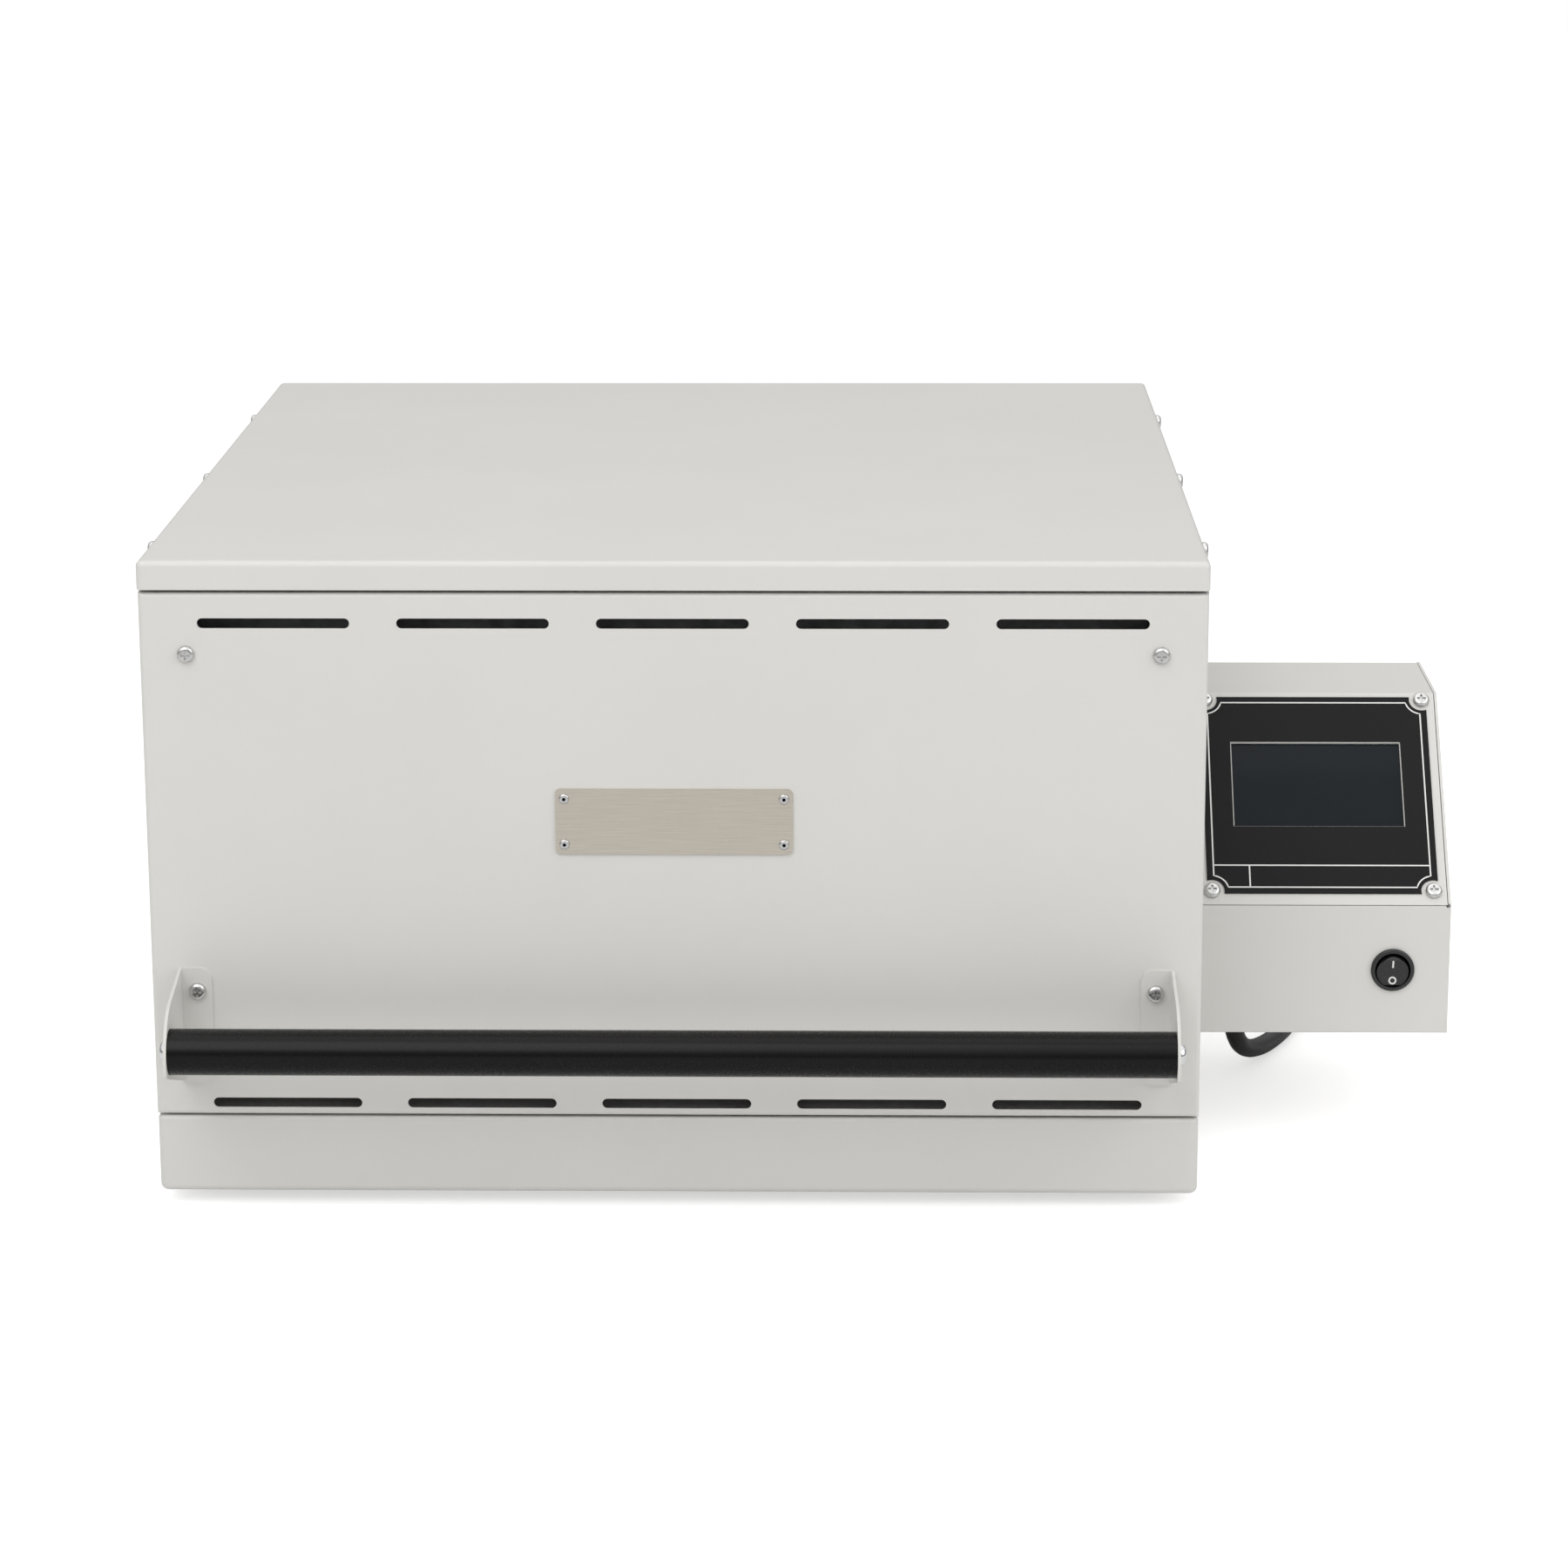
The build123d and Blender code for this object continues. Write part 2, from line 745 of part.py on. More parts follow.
def hinge_arm():
    x0 = rail_outer
    x1 = rail_outer + arm_thickness
    arm = block(x0, x1, hinge_y - arm_radius, hinge_y + arm_radius, hinge_z - arm_length, hinge_z)
    arm += rod((x0, hinge_y, hinge_z), (x1, hinge_y, hinge_z), arm_radius)
    return arm - rod((x0 - 1, hinge_y, hinge_z), (x1 + 1, hinge_y, hinge_z), pin_radius + pin_play)


# Door
def door_cover():
    # the sides end in a round cheek about the hinge axis, so that they clear the panels as they swing
    profile = block(-door_half, door_half, door_face, door_back, door_bottom, hinge_z)
    profile += block(-door_half, door_half, door_face, hinge_y, hinge_z - 1, door_top)
    cheek = rod((-door_half, hinge_y, hinge_z), (door_half, hinge_y, hinge_z), hinge_drop)
    cheek = cheek & block(-door_half, door_half, door_face, door_back + door_return, door_bottom, door_top)
    profile += cheek
    front = profile.faces().sort_by(Axis.Y)[0]
    profile = fillet(front.edges(), door_bend)
    cavity = block(-door_half + sheet, door_half - sheet, door_skin, door_back + door_return,
                   door_bottom + sheet, door_top - sheet)
    pan = profile - cavity
    pan = cut_all(pan, slot_row(door_face, door_top - top_slots_below_door_top - slot_width / 2, 2 * sheet))
    low = door_bottom + bottom_slots_above_door_bottom - slot_width
    pan = cut_all(pan, slot_row(door_face, low, 2 * sheet))
    for side in (-1, 1):
        pan -= block(side * door_half, side * (door_half - notch_width), door_face + door_bend,
                     door_face + door_bend + notch_height, door_top - notch_height, door_top)
    pan = cut_all(pan, [screw_hole(place) for place in door_screw_places()])
    return cut_all(pan, [rivet_hole(place) for place in rivet_places()])


def door_screw_places():
    bracket_face = door_face - handle_bracket_sheet
    spots = [(door_face, door_top - upper_screw_drop), (bracket_face, handle_axis_height + handle_screw_above)]
    return [((side * door_screw_x, y, z), (0, -1, 0)) for y, z in spots for side in (-1, 1)]


def door_screws():
    length = rail_depth - rail_thickness - washer_thickness + sheet
    return group([at(pan_screw(length), point, direction) for point, direction in door_screw_places()])


def rivet_places():
    face = door_face - nameplate_thickness
    corners = [(sx * rivet_pitch_x / 2, sz * rivet_pitch_z / 2) for sx in (-1, 1) for sz in (-1, 1)]
    return [((x, face, nameplate_centre + z), (0, -1, 0)) for x, z in corners]


def rivet_hole(place):
    point, direction = place
    return at(Cylinder(rivet_shank + pin_seat, 4 * rivet_length), point, direction)


def nameplate():
    outline = RectangleRounded(nameplate_width, nameplate_height, nameplate_corner)
    plate = extrude(upright(0, door_face, nameplate_centre) * outline, amount=nameplate_thickness)
    return cut_all(plate, [rivet_hole(place) for place in rivet_places()])


def rivet():
    head = Pos(0, 0, rivet_height / 2) * Cylinder(rivet_radius, rivet_height)
    head = fillet(head.edges().sort_by(Axis.Z)[-1], rivet_height * 0.8)
    shank = Pos(0, 0, -rivet_length / 2) * Cylinder(rivet_shank, rivet_length)
    return head + shank - Cylinder(rivet_bore, 4 * rivet_length)


def nameplate_rivets():
    return group([at(rivet(), point, direction) for point, direction in rivet_places()])


def door_rail():
    low = door_bottom + rail_end_gap
    high = hinge_z - bracket_slope + rail_thickness
    front_high = hinge_z + hinge_setback
    front = block(rail_outer - rail_front_width, rail_outer, door_skin, door_skin + rail_thickness,
                  low, front_high)
    web = block(rail_outer - rail_thickness, rail_outer, door_skin, rail_back, low, high)
    back = block(rail_outer - rail_back_width, rail_outer, rail_back - rail_thickness, rail_back, low, high)
    rail = front + web + back
    reach = rail_depth - rail_thickness
    return cut_all(rail, [screw_hole(place, reach) for place in door_screw_places() if place[0][0] > 0])


def door_inner_pan():
    half = chamber_half + board_margin + board_play
    low = chamber_bottom - board_margin - board_play
    high = chamber_top + board_margin + board_play
    face = rail_back
    outer = half + sheet
    wide = rail_outer - rail_back_width + inner_pan_lap
    pan = block(-wide, wide, face, face + sheet, low - sheet, high + sheet)
    rim = block(-outer, outer, face, face + inner_pan_wall, low - sheet, high + sheet)
    return (pan + rim) - block(-half, half, face + sheet, depth, low, high)


def door_insulation():
    half = chamber_half + board_margin
    low = chamber_bottom - board_margin
    high = chamber_top + board_margin
    board = block(-half, half, rail_back + sheet, board_back, low, high)
    board = chamfer(board.faces().sort_by(Axis.Y)[-1].edges(), board_chamfer)
    half = chamber_half - plug_clearance
    step = block(-half, half, board_back, board_back + plug_step,
                 chamber_bottom + plug_clearance, chamber_top - plug_clearance)
    step = chamfer(step.faces().sort_by(Axis.Y)[-1].edges(), board_chamfer)
    return board + step


# Handle
def handle_bracket():
    inner = handle_bracket_outer - handle_bracket_sheet
    face = door_face
    front = -handle_ear_front
    top_front = handle_ear_top - handle_ear_top_slope
    bottom_front = handle_ear_bottom + handle_ear_bottom_slope
    outline = Polygon((face, handle_ear_top), (front, top_front), (front, bottom_front),
                      (face, handle_ear_bottom), align=None)
    nose = outline.vertices().sort_by(Axis.X)[:2].sort_by(Axis.Y)
    outline = fillet(nose[1], handle_ear_nose)
    chin = outline.vertices().sort_by(Axis.Y).filter_by(lambda v: v.X < -handle_ear_front * 0.5)[0]
    outline = fillet(chin, handle_ear_chin)
    ear = extrude(Plane.YZ.offset(inner) * outline, amount=handle_bracket_sheet, dir=(1, 0, 0))
    flange = block(handle_bracket_outer - handle_flange_width, handle_bracket_outer,
                   face - handle_bracket_sheet, face, handle_ear_bottom, handle_ear_top)
    corners = flange.edges().filter_by(Axis.Y).sort_by(Axis.X)[:2]
    flange = fillet(corners, handle_flange_corner)
    bracket = ear + flange
    bracket -= rod((inner - 1, -handle_axis_forward, handle_axis_height),
                   (handle_bracket_outer + 1, -handle_axis_forward, handle_axis_height), m6_hole_radius)
    return cut_all(bracket, [screw_hole(place) for place in door_screw_places() if place[0][0] > 0])


def handle_tube():
    half = handle_bracket_outer - handle_bracket_sheet
    start = (-half, -handle_axis_forward, handle_axis_height)
    end = (half, -handle_axis_forward, handle_axis_height)
    return rod(start, end, handle_tube_radius) - rod(start, end, handle_tube_radius - handle_tube_wall)


def handle_end_plugs():
    outer = handle_bracket_outer - handle_bracket_sheet
    inner = outer - handle_plug_length
    start = (inner, -handle_axis_forward, handle_axis_height)
    end = (outer, -handle_axis_forward, handle_axis_height)
    plug = rod(start, end, handle_tube_radius - handle_tube_wall - pin_seat)
    hole_start = (outer - m6_length, -handle_axis_forward, handle_axis_height)
    return both_sides(plug - rod(hole_start, end, m6_radius + pin_seat))


def handle_screws():
    length = m6_length - handle_bracket_sheet
    place = (handle_bracket_outer, -handle_axis_forward, handle_axis_height)
    return both_sides(at(button_screw(length), place, (1, 0, 0)))


# Control box
def box_outline(inset):
    # side view of the box, set in by a sheet's thickness
    lean = tan((pi / 2 - atan2(slope_cos, slope_sin)) / 2)
    crown = tan(atan2(slope_cos, slope_sin) / 2)
    return [(box_front + inset, box_bottom + inset), (box_front + inset, box_seam + inset * lean),
            (box_fold + inset * crown, box_top - inset), (box_back - inset, box_top - inset),
            (box_back - inset, box_bottom + inset)]


def box_mount_places():
    # screws that hold the box to the kiln's side, put in from inside the box
    x = box_left + box_sheet
    low = box_bottom + mount_inset_low
    high = box_top - mount_inset_high
    back = box_back - mount_inset_back
    spots = [(box_front + mount_inset_front, low), (back, low), (back, high)]
    return [((x, y, z), (1, 0, 0)) for y, z in spots]


def box_cover_screw_places():
    y = box_back - box_sheet - box_tab_depth / 2
    heights = (box_bottom + cover_screw_inset, box_top - cover_screw_inset)
    return [((box_right, y, z), (1, 0, 0)) for z in heights]


def control_box_base():
    # bottom, lower front and both side walls
    solid = side_profile(box_outline(0), box_left, box_right)
    front_edges = solid.edges().filter_by(Axis.X).sort_by(Axis.Z)[:1]
    solid = fillet(front_edges, box_edge_round)
    inside = side_profile(box_outline(box_sheet), box_left + box_sheet, box_right - box_sheet)
    shell = solid - inside
    x0 = box_left + box_sheet
    x1 = box_right - box_sheet
    reach = box_top + box_sheet
    upper = [(box_front - 1, box_seam - box_seam_gap), (box_front + 2 * box_sheet, box_seam - box_seam_gap),
             (box_fold, box_top - 2 * box_sheet), (box_back - box_sheet, box_top - 2 * box_sheet),
             (box_back - box_sheet, box_bottom + box_sheet), (box_back + 1, box_bottom + box_sheet),
             (box_back + 1, reach), (box_front - 1, reach)]
    shell = shell - side_profile(upper, x0, x1)
    deep = 2 * box_sheet
    shell -= rod((switch_x, box_front - 1, switch_z), (switch_x, box_front + deep, switch_z),
                 switch_hole_radius)
    shell -= rod((gland_x, gland_y, box_bottom - 1), (gland_x, gland_y, box_bottom + deep),
                 gland_barrel_radius + pin_seat)
    for z in terminal_z:
        shell -= rod((box_left - 1, lead_y, z), (box_left + deep, lead_y, z), lead_hole_radius)
    for x in (x0, x1):
        relief = slope_plane(x, 0) * Cylinder(box_relief, 4 * box_sheet)
        shell = shell - relief
    places = box_mount_places() + box_cover_screw_places()
    return cut_all(shell, [screw_hole(place, deep) for place in places])


def control_box_cover():
    # the slope, the top and the back, in one bent strip between the side walls
    x0 = box_left + box_sheet + box_seam_gap
    x1 = box_right - box_sheet - box_seam_gap
    solid = side_profile(box_outline(0), x0, x1)
    folds = solid.edges().filter_by(Axis.X).sort_by(Axis.Z)[-2:]
    solid = fillet(folds, bend * 0.8)
    solid -= side_profile(box_outline(box_sheet), x0 - 1, x1 + 1)
    seam = box_bottom + box_sheet + box_seam_gap
    low = block(x0 - 1, x1 + 1, box_front - 1, box_back - box_sheet, box_bottom - 1, box_seam)
    low += block(x0 - 1, x1 + 1, box_front - 1, box_back + 1, box_bottom - 1, seam)
    cover = solid - low
    for inner, outer in ((x0, x0 + box_sheet), (x1 - box_sheet, x1)):
        cover += block(inner, outer, box_back - box_tab_depth - box_sheet, box_back - box_sheet,
                       box_bottom + cover_tab_inset, box_top - cover_tab_inset)
    hole_width = window_width - 2 * window_rim
    hole_height = window_height - 2 * window_rim
    middle = window_bottom + window_height / 2
    window = slope_plane(display_x, middle) * Rectangle(hole_width, hole_height)
    cover = cover - extrude(window, amount=cut_reach, both=True)
    for x, up in overlay_screw_places():
        cover -= slope_plane(x, up) * Cylinder(m5_hole_radius, cut_reach)
    first = (box_bottom + box_top) / 2 - (box_slots - 1) / 2 * box_slot_pitch
    middle_x = (x0 + x1) / 2
    for i in range(box_slots):
        z = first + i * box_slot_pitch
        cover -= slot_cutter(middle_x, box_back, z, box_slot_length, box_slot_width, 3 * box_sheet)
    return cut_all(cover, [screw_hole(place) for place in box_cover_screw_places()])


def overlay_screw_places():
    middle = overlay_bottom + overlay_height / 2
    half = screw_square / 2
    return [(display_x + sx * half, middle + sz * half) for sx in (-1, 1) for sz in (-1, 1)]


def display_overlay():
    # black plate on the slope, its corners cut away round the screws
    middle = overlay_bottom + overlay_height / 2
    plate = slope_plane(display_x, middle) * Rectangle(overlay_width, overlay_height)
    plate = extrude(plate, amount=overlay_thickness)
    for x, up in overlay_screw_places():
        plate -= slope_plane(x, up) * Cylinder(overlay_corner, cut_reach)
    window_middle = window_bottom + window_height / 2
    window = slope_plane(display_x, window_middle) * Rectangle(window_width, window_height)
    return plate - extrude(window, amount=cut_reach, both=True)


def display_screen():
    middle = window_bottom + window_height / 2
    face = slope_plane(display_x, middle, -box_sheet) * Rectangle(screen_width, screen_height)
    return extrude(face, amount=-screen_thickness)


def controller_board():
    middle = overlay_bottom + overlay_height / 2
    back = -box_sheet - spacer_length
    board = slope_plane(display_x, middle, back) * Rectangle(board_width, board_height)
    board = extrude(board, amount=-board_thickness)
    for x, up in overlay_screw_places():
        board -= slope_plane(x, up, back) * Cylinder(m5_hole_radius, cut_reach)
    under = back - board_thickness
    for x, up in chip_places:
        chip = slope_plane(display_x + x, middle + up, under) * Rectangle(chip_size, chip_size)
        board += extrude(chip, amount=-chip_height)
    wide, tall, deep = relay_can
    for x in relay_can_places:
        can = slope_plane(display_x + x, middle - tall, under) * Rectangle(wide, tall)
        board += extrude(can, amount=-deep)
    return board


def board_spacers():
    spacers = []
    for x, up in overlay_screw_places():
        plane = slope_plane(x, up, -box_sheet)
        tube = extrude(plane * Circle(spacer_radius), amount=-spacer_length)
        spacers.append(tube - plane * Cylinder(m5_radius + pin_seat, 4 * spacer_length))
    return group(spacers)


def overlay_screws():
    length = box_sheet + spacer_length + 2 * board_thickness
    return group([slope_plane(x, up) * pan_screw(length) for x, up in overlay_screw_places()])


def switch_housing():
    front = box_front - bezel_height
    end = box_front + barrel_length
    bezel = rod((switch_x, front, switch_z), (switch_x, box_front, switch_z), bezel_radius)
    bezel = fillet(bezel.edges().filter_by(GeomType.CIRCLE).sort_by(Axis.Y)[0], bezel_height * 0.55)
    body = bezel + rod((switch_x, box_front, switch_z), (switch_x, end, switch_z), barrel_radius)
    floor = end - barrel_floor
    body -= rod((switch_x, front - 1, switch_z), (switch_x, floor, switch_z), bezel_bore)
    wide, deep, thin = terminal_blade
    for step in (-1, 0, 1):
        z = switch_z + step * barrel_radius / 2
        body += block(switch_x - wide / 2, switch_x + wide / 2, end, end + deep, z - thin / 2, z + thin / 2)
    return body


def switch_rocker():
    # round key that tilts about a level axis; at rest its lower half is pressed in
    y = box_front + rocker_pivot_depth
    left = switch_x - rocker_radius
    right = switch_x + rocker_radius
    key = rod((switch_x, y - 2 * rocker_crown, switch_z), (switch_x, y + rocker_back, switch_z),
              rocker_radius)
    key = key & rod((left, y, switch_z), (right, y, switch_z), rocker_swell)
    rise = tan(radians(rocker_tilt))
    far = 2 * rocker_radius
    face = [(y - rocker_crown, switch_z), (y - rocker_crown - far * rise, switch_z + far),
            (y + rocker_back, switch_z + far), (y + rocker_back, switch_z - far),
            (y - rocker_crown - far * rise, switch_z - far)]
    key = key & side_profile(face, switch_x - far, switch_x + far)
    return key.rotate(Axis((switch_x, y, switch_z), (1, 0, 0)), rocker_tilt)


def terminal_strip():
    x0 = box_left + box_sheet
    x1 = x0 + terminal_strip_width
    half = terminal_strip_depth / 2
    low = terminal_z[0] - terminal_strip_margin
    high = terminal_z[-1] + terminal_strip_margin
    strip = block(x0, x1, lead_y - half, lead_y + half, low, high)
    for z in terminal_z:
        strip -= rod((x0 - 1, lead_y, z), (x1 + 1, lead_y, z), lead_radius + pin_seat)
    return strip


def terminal_clamps():
    x0 = box_left + box_sheet + terminal_strip_width
    x1 = x0 + clamp_length
    half = clamp_size / 2
    clamps = []
    for z in terminal_z:
        clamp = block(x0, x1, lead_y - half, lead_y + half, z - half, z + half)
        clamps.append(clamp - rod((x0, lead_y, z), ((x0 + x1) / 2, lead_y, z), lead_radius + pin_seat))
    return group(clamps)


def heat_sink():
    wide, deep, thick = heat_sink_size
    floor = box_bottom + box_sheet
    top = floor + heat_sink_fin_height + thick
    left = relay_x - wide / 2
    front = relay_y - deep / 2
    plate = block(left, left + wide, front, front + deep, top - thick, top)
    pitch = (wide - heat_sink_fin_thickness) / (heat_sink_fins - 1)
    for i in range(heat_sink_fins):
        x = left + i * pitch
        plate += block(x, x + heat_sink_fin_thickness, front, front + deep, floor, top - thick)
    return plate


def power_relay():
    wide, deep, tall = relay_size
    bottom = box_bottom + box_sheet + heat_sink_fin_height + heat_sink_size[2]
    left = relay_x - wide / 2
    front = relay_y - deep / 2
    body = block(left, left + wide, front, front + deep, bottom, bottom + tall)
    return fillet(body.edges().filter_by(Axis.Z), relay_corner)


# Mains cord
def cord_gland():
    # lock nut inside the box, hexagon and tapered sleeve under it
    hexagon = RegularPolygon(gland_hex, 6, major_radius=False)
    lower = extrude(hexagon, amount=-gland_hex_height)
    barrel = Pos(0, 0, gland_barrel_height / 2) * Cylinder(gland_barrel_radius, gland_barrel_height)
    nut = Pos(0, 0, box_sheet) * extrude(hexagon, amount=gland_nut_height)
    sleeve = Cone(gland_taper_bottom, gland_taper_top, gland_taper_length)
    sleeve = Pos(0, 0, -gland_hex_height - gland_taper_length / 2) * sleeve
    return Pos(gland_x, gland_y, box_bottom) * (lower + barrel + nut + sleeve)


def cord_route():
    # out of the gland, down to the floor, back past the kiln's corner and round to the coil
    drop = [(gland_x, gland_y, gland_end), (gland_x, gland_y, gland_end - cord_drop), cord_bend_point]
    floor = [(x, y, cord_rest) for x, y in cord_floor_points]
    front_of_coil = coil_centre_y - coil_outer_turn
    return drop + floor + [(x, front_of_coil, cord_rest) for x in cord_arrival]


def tail_route():
    # off the top of the coil's outer turn, down past the turns under it and into the plug
    y = coil_centre_y + coil_outer_turn
    high = [(coil_centre_x + along, y, tail_height) for along in tail_level]
    return high + [(coil_centre_x + along, y + aside, plug_radius + floor_lift) for along, aside in tail_end]


def corner_radii(points):
    radii = []
    for before, corner, after in zip(points, points[1:], points[2:]):
        first = Vector(*corner) - Vector(*before)
        second = Vector(*after) - Vector(*corner)
        turn = first.get_angle(second)
        radii.append(0.45 * min(first.length, second.length) / tan(radians(turn / 2)))
    return radii


def tube(points, name):
    radii = corner_radii(points)
    path = FilletPolyline(*points, radius=radii)
    ring = Plane(origin=path @ 0, z_dir=path % 0) * Circle(cord_radius)
    solid = sweep(ring, path=path)
    expected = pi * cord_radius ** 2 * path.length
    share = round(solid.volume / expected, 5)
    print(name, "length", round(path.length, 1), "volume", share, "of its section times length")
    print(name, "radii", [round(r, 1) for r in radii])
    return solid


def cord_coil():
    inner = coil_inner_turn - cord_radius - coil_margin
    outer = coil_outer_turn + cord_radius + coil_margin
    tall = tail_height + cord_radius
    ring = Cylinder(outer, tall) - Cylinder(inner, tall)
    ring = fillet(ring.edges().filter_by(GeomType.CIRCLE), cord_radius * 0.8)
    return Pos(coil_centre_x, coil_centre_y, tall / 2) * ring


def plug_frame():
    # the plug lies on the floor, in line with the end of the cord's tail
    before, end = tail_route()[-2:]
    line = Vector(end[0] - before[0], end[1] - before[1], 0)
    return Plane(origin=end, x_dir=(0, 0, 1), z_dir=line)


def plug_body():
    neck = Cone(plug_neck_radius, plug_neck_wide_radius, plug_neck_length)
    neck = Pos(0, 0, plug_neck_length / 2) * neck
    body = Pos(0, 0, plug_neck_length + plug_length / 2) * Cylinder(plug_radius, plug_length)
    body = fillet(body.edges().sort_by(Axis.Z)[0], plug_shoulder)
    body = fillet(body.edges().sort_by(Axis.Z)[-1], plug_edge)
    return plug_frame() * (neck + body)


def plug_blades():
    thin, long, wide = plug_blade
    face = plug_neck_length + plug_length
    blades = [Pos(-plug_earth_drop / 3, side * plug_blade_pitch / 2, face + long / 2) * Box(wide, thin, long)
              for side in (-1, 1)]
    earth = Cylinder(plug_earth_radius, plug_earth_length)
    earth = Pos(plug_earth_drop, 0, face + plug_earth_length / 2) * earth
    return group([plug_frame() * piece for piece in blades + [earth]])


parts = {
    "top_cover": top_cover(),
    "case_screws": case_screws(),
    "left_side_panel": mirrored(side_panel()),
    "right_side_panel": right_side_panel(),
    "rear_panel": rear_panel(),
    "base_tray": base_tray(),
    "rubber_feet": rubber_feet(),
    "foot_screws": foot_screws(),
    "inner_case": inner_case(),
    "front_frame": front_frame(),
    "lining_floor": lining_floor(),
    "lining_roof": lining_roof(),
    "lining_left": lining_left(),
    "lining_right": lining_right(),
    "lining_rear": lining_rear(),
    "hearth_plate": hearth_plate(),
    "element_lower": element(*groove_pairs()[0]),
    "element_upper": element(*groove_pairs()[1]),
    "element_leads": element_leads(),
    "lead_bushes": lead_bushes(),
    "thermocouple_tube": thermocouple_tube(),
    "thermocouple_block": thermocouple_block(),
    "door_gasket": door_gasket(),
    "hinge_brackets": both_sides(hinge_bracket()),
    "hinge_pins": both_sides(hinge_pin()),
    "hinge_washers": both_sides(hinge_washer()),
    "hinge_arms": both_sides(hinge_arm()),
    "door_cover": door_cover(),
    "door_rail_left": mirrored(door_rail()),
    "door_rail_right": door_rail(),
    "door_inner_pan": door_inner_pan(),
    "door_insulation": door_insulation(),
    "door_screws": door_screws(),
    "nameplate": nameplate(),
    "nameplate_rivets": nameplate_rivets(),
    "handle_bracket_left": mirrored(handle_bracket()),
    "handle_bracket_right": handle_bracket(),
    "handle_tube": handle_tube(),
    "handle_end_plugs": handle_end_plugs(),
    "handle_screws": handle_screws(),
    "control_box_base": control_box_base(),
    "control_box_cover": control_box_cover(),
    "display_overlay": display_overlay(),
    "display_screen": display_screen(),
    "controller_board": controller_board(),
    "board_spacers": board_spacers(),
    "overlay_screws": overlay_screws(),
    "switch_housing": switch_housing(),
    "switch_rocker": switch_rocker(),
    "terminal_strip": terminal_strip(),
    "terminal_clamps": terminal_clamps(),
    "heat_sink": heat_sink(),
    "power_relay": power_relay(),
    "cord_gland": cord_gland(),
    "cord_run": tube(cord_route(), "cord run"),
    "cord_coil": cord_coil(),
    "cord_tail": tube(tail_route(), "cord tail"),
    "plug_body": plug_body(),
    "plug_blades": plug_blades(),
}

# The origin: middle of the kiln's box on the floor, without the cord and what is on it
left_end = -half_width - m5_head_height
right_end = box_right + m5_head_height
front_end = -handle_ear_front
back_end = rear_outer + m5_head_height
origin_x = (left_end + right_end) / 2
origin_y = (front_end + back_end) / 2
print("origin in kiln sizes", round(origin_x, 4), round(origin_y, 4), "nodes", len(parts))

os.makedirs("parts", exist_ok=True)
for name, shape in parts.items():
    export_step(Pos(-origin_x, -origin_y, 0) * shape, f"parts/{name}.step")
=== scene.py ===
import json
from math import cos, hypot, pi, radians, sin, tan

import bpy
from mathutils import Matrix, Vector


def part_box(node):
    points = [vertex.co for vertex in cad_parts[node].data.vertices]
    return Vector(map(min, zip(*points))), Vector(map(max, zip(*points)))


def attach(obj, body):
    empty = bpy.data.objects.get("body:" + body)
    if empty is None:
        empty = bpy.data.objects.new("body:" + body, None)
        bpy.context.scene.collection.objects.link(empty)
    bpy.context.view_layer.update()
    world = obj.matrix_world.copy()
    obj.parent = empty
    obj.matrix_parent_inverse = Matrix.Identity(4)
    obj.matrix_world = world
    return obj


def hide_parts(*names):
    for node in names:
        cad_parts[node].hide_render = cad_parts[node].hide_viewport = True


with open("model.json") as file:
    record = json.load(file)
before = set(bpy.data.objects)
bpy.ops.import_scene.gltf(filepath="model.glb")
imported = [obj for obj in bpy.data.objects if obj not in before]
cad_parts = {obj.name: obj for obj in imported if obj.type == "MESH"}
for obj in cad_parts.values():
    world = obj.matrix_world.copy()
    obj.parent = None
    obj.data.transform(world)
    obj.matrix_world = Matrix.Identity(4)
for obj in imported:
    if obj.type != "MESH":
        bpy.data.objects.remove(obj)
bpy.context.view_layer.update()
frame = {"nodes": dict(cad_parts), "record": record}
nodes = frame["nodes"]
print("frame loaded,", len(nodes), "nodes")

# The kiln's own sizes start at the middle of its lid's front, the frame at the middle of its base
kilnOrigin = Vector((0.06865, 0.25045, 0.0))


def kilnPoint(x, y, z):
    # millimetres from the lid's front, turned into a point of the frame
    return Vector((x, y, z)) / 1000 - kilnOrigin


# Camera
cameraLook = {
    "place": (99.9, -2167.6, 774.7),
    "turn": -0.0206,   # to the right, radians
    "tilt": 0.2484,    # downwards
    "roll": -0.0031,
    "lens": 102.61,
    "sensor": 36,
    "reach": 50,       # metres
}


def makeCamera(look):
    data = bpy.data.cameras.new("photoCamera")
    data.lens = look["lens"]
    data.sensor_width = look["sensor"]
    data.clip_end = look["reach"]
    camera = bpy.data.objects.new("photoCamera", data)
    bpy.context.scene.collection.objects.link(camera)
    turn, tilt, roll = look["turn"], look["tilt"], look["roll"]
    ahead = Vector((sin(turn) * cos(tilt), cos(turn) * cos(tilt), -sin(tilt)))
    level = Vector((cos(turn), -sin(turn), 0))
    upright = level.cross(ahead)
    across = level * cos(roll) + upright * sin(roll)
    above = upright * cos(roll) - level * sin(roll)
    facing = Matrix((across, above, -ahead)).transposed()
    camera.matrix_world = Matrix.Translation(kilnPoint(*look["place"])) @ facing.to_4x4()
    bpy.context.scene.camera = camera


makeCamera(cameraLook)
print("camera made")


# Small makers shared by the pieces
def link(name, data):
    piece = bpy.data.objects.new(name, data)
    bpy.context.scene.collection.objects.link(piece)
    return piece


def meshPiece(name, points, faces, smooth=False):
    mesh = bpy.data.meshes.new(name)
    mesh.from_pydata([tuple(p) for p in points], [], faces)
    mesh.validate()
    if smooth:
        mesh.shade_smooth()
    return link(name, mesh)


def finished(piece, body, material):
    piece.data.materials.clear()
    piece.data.materials.append(material)
    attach(piece, body)
    return piece


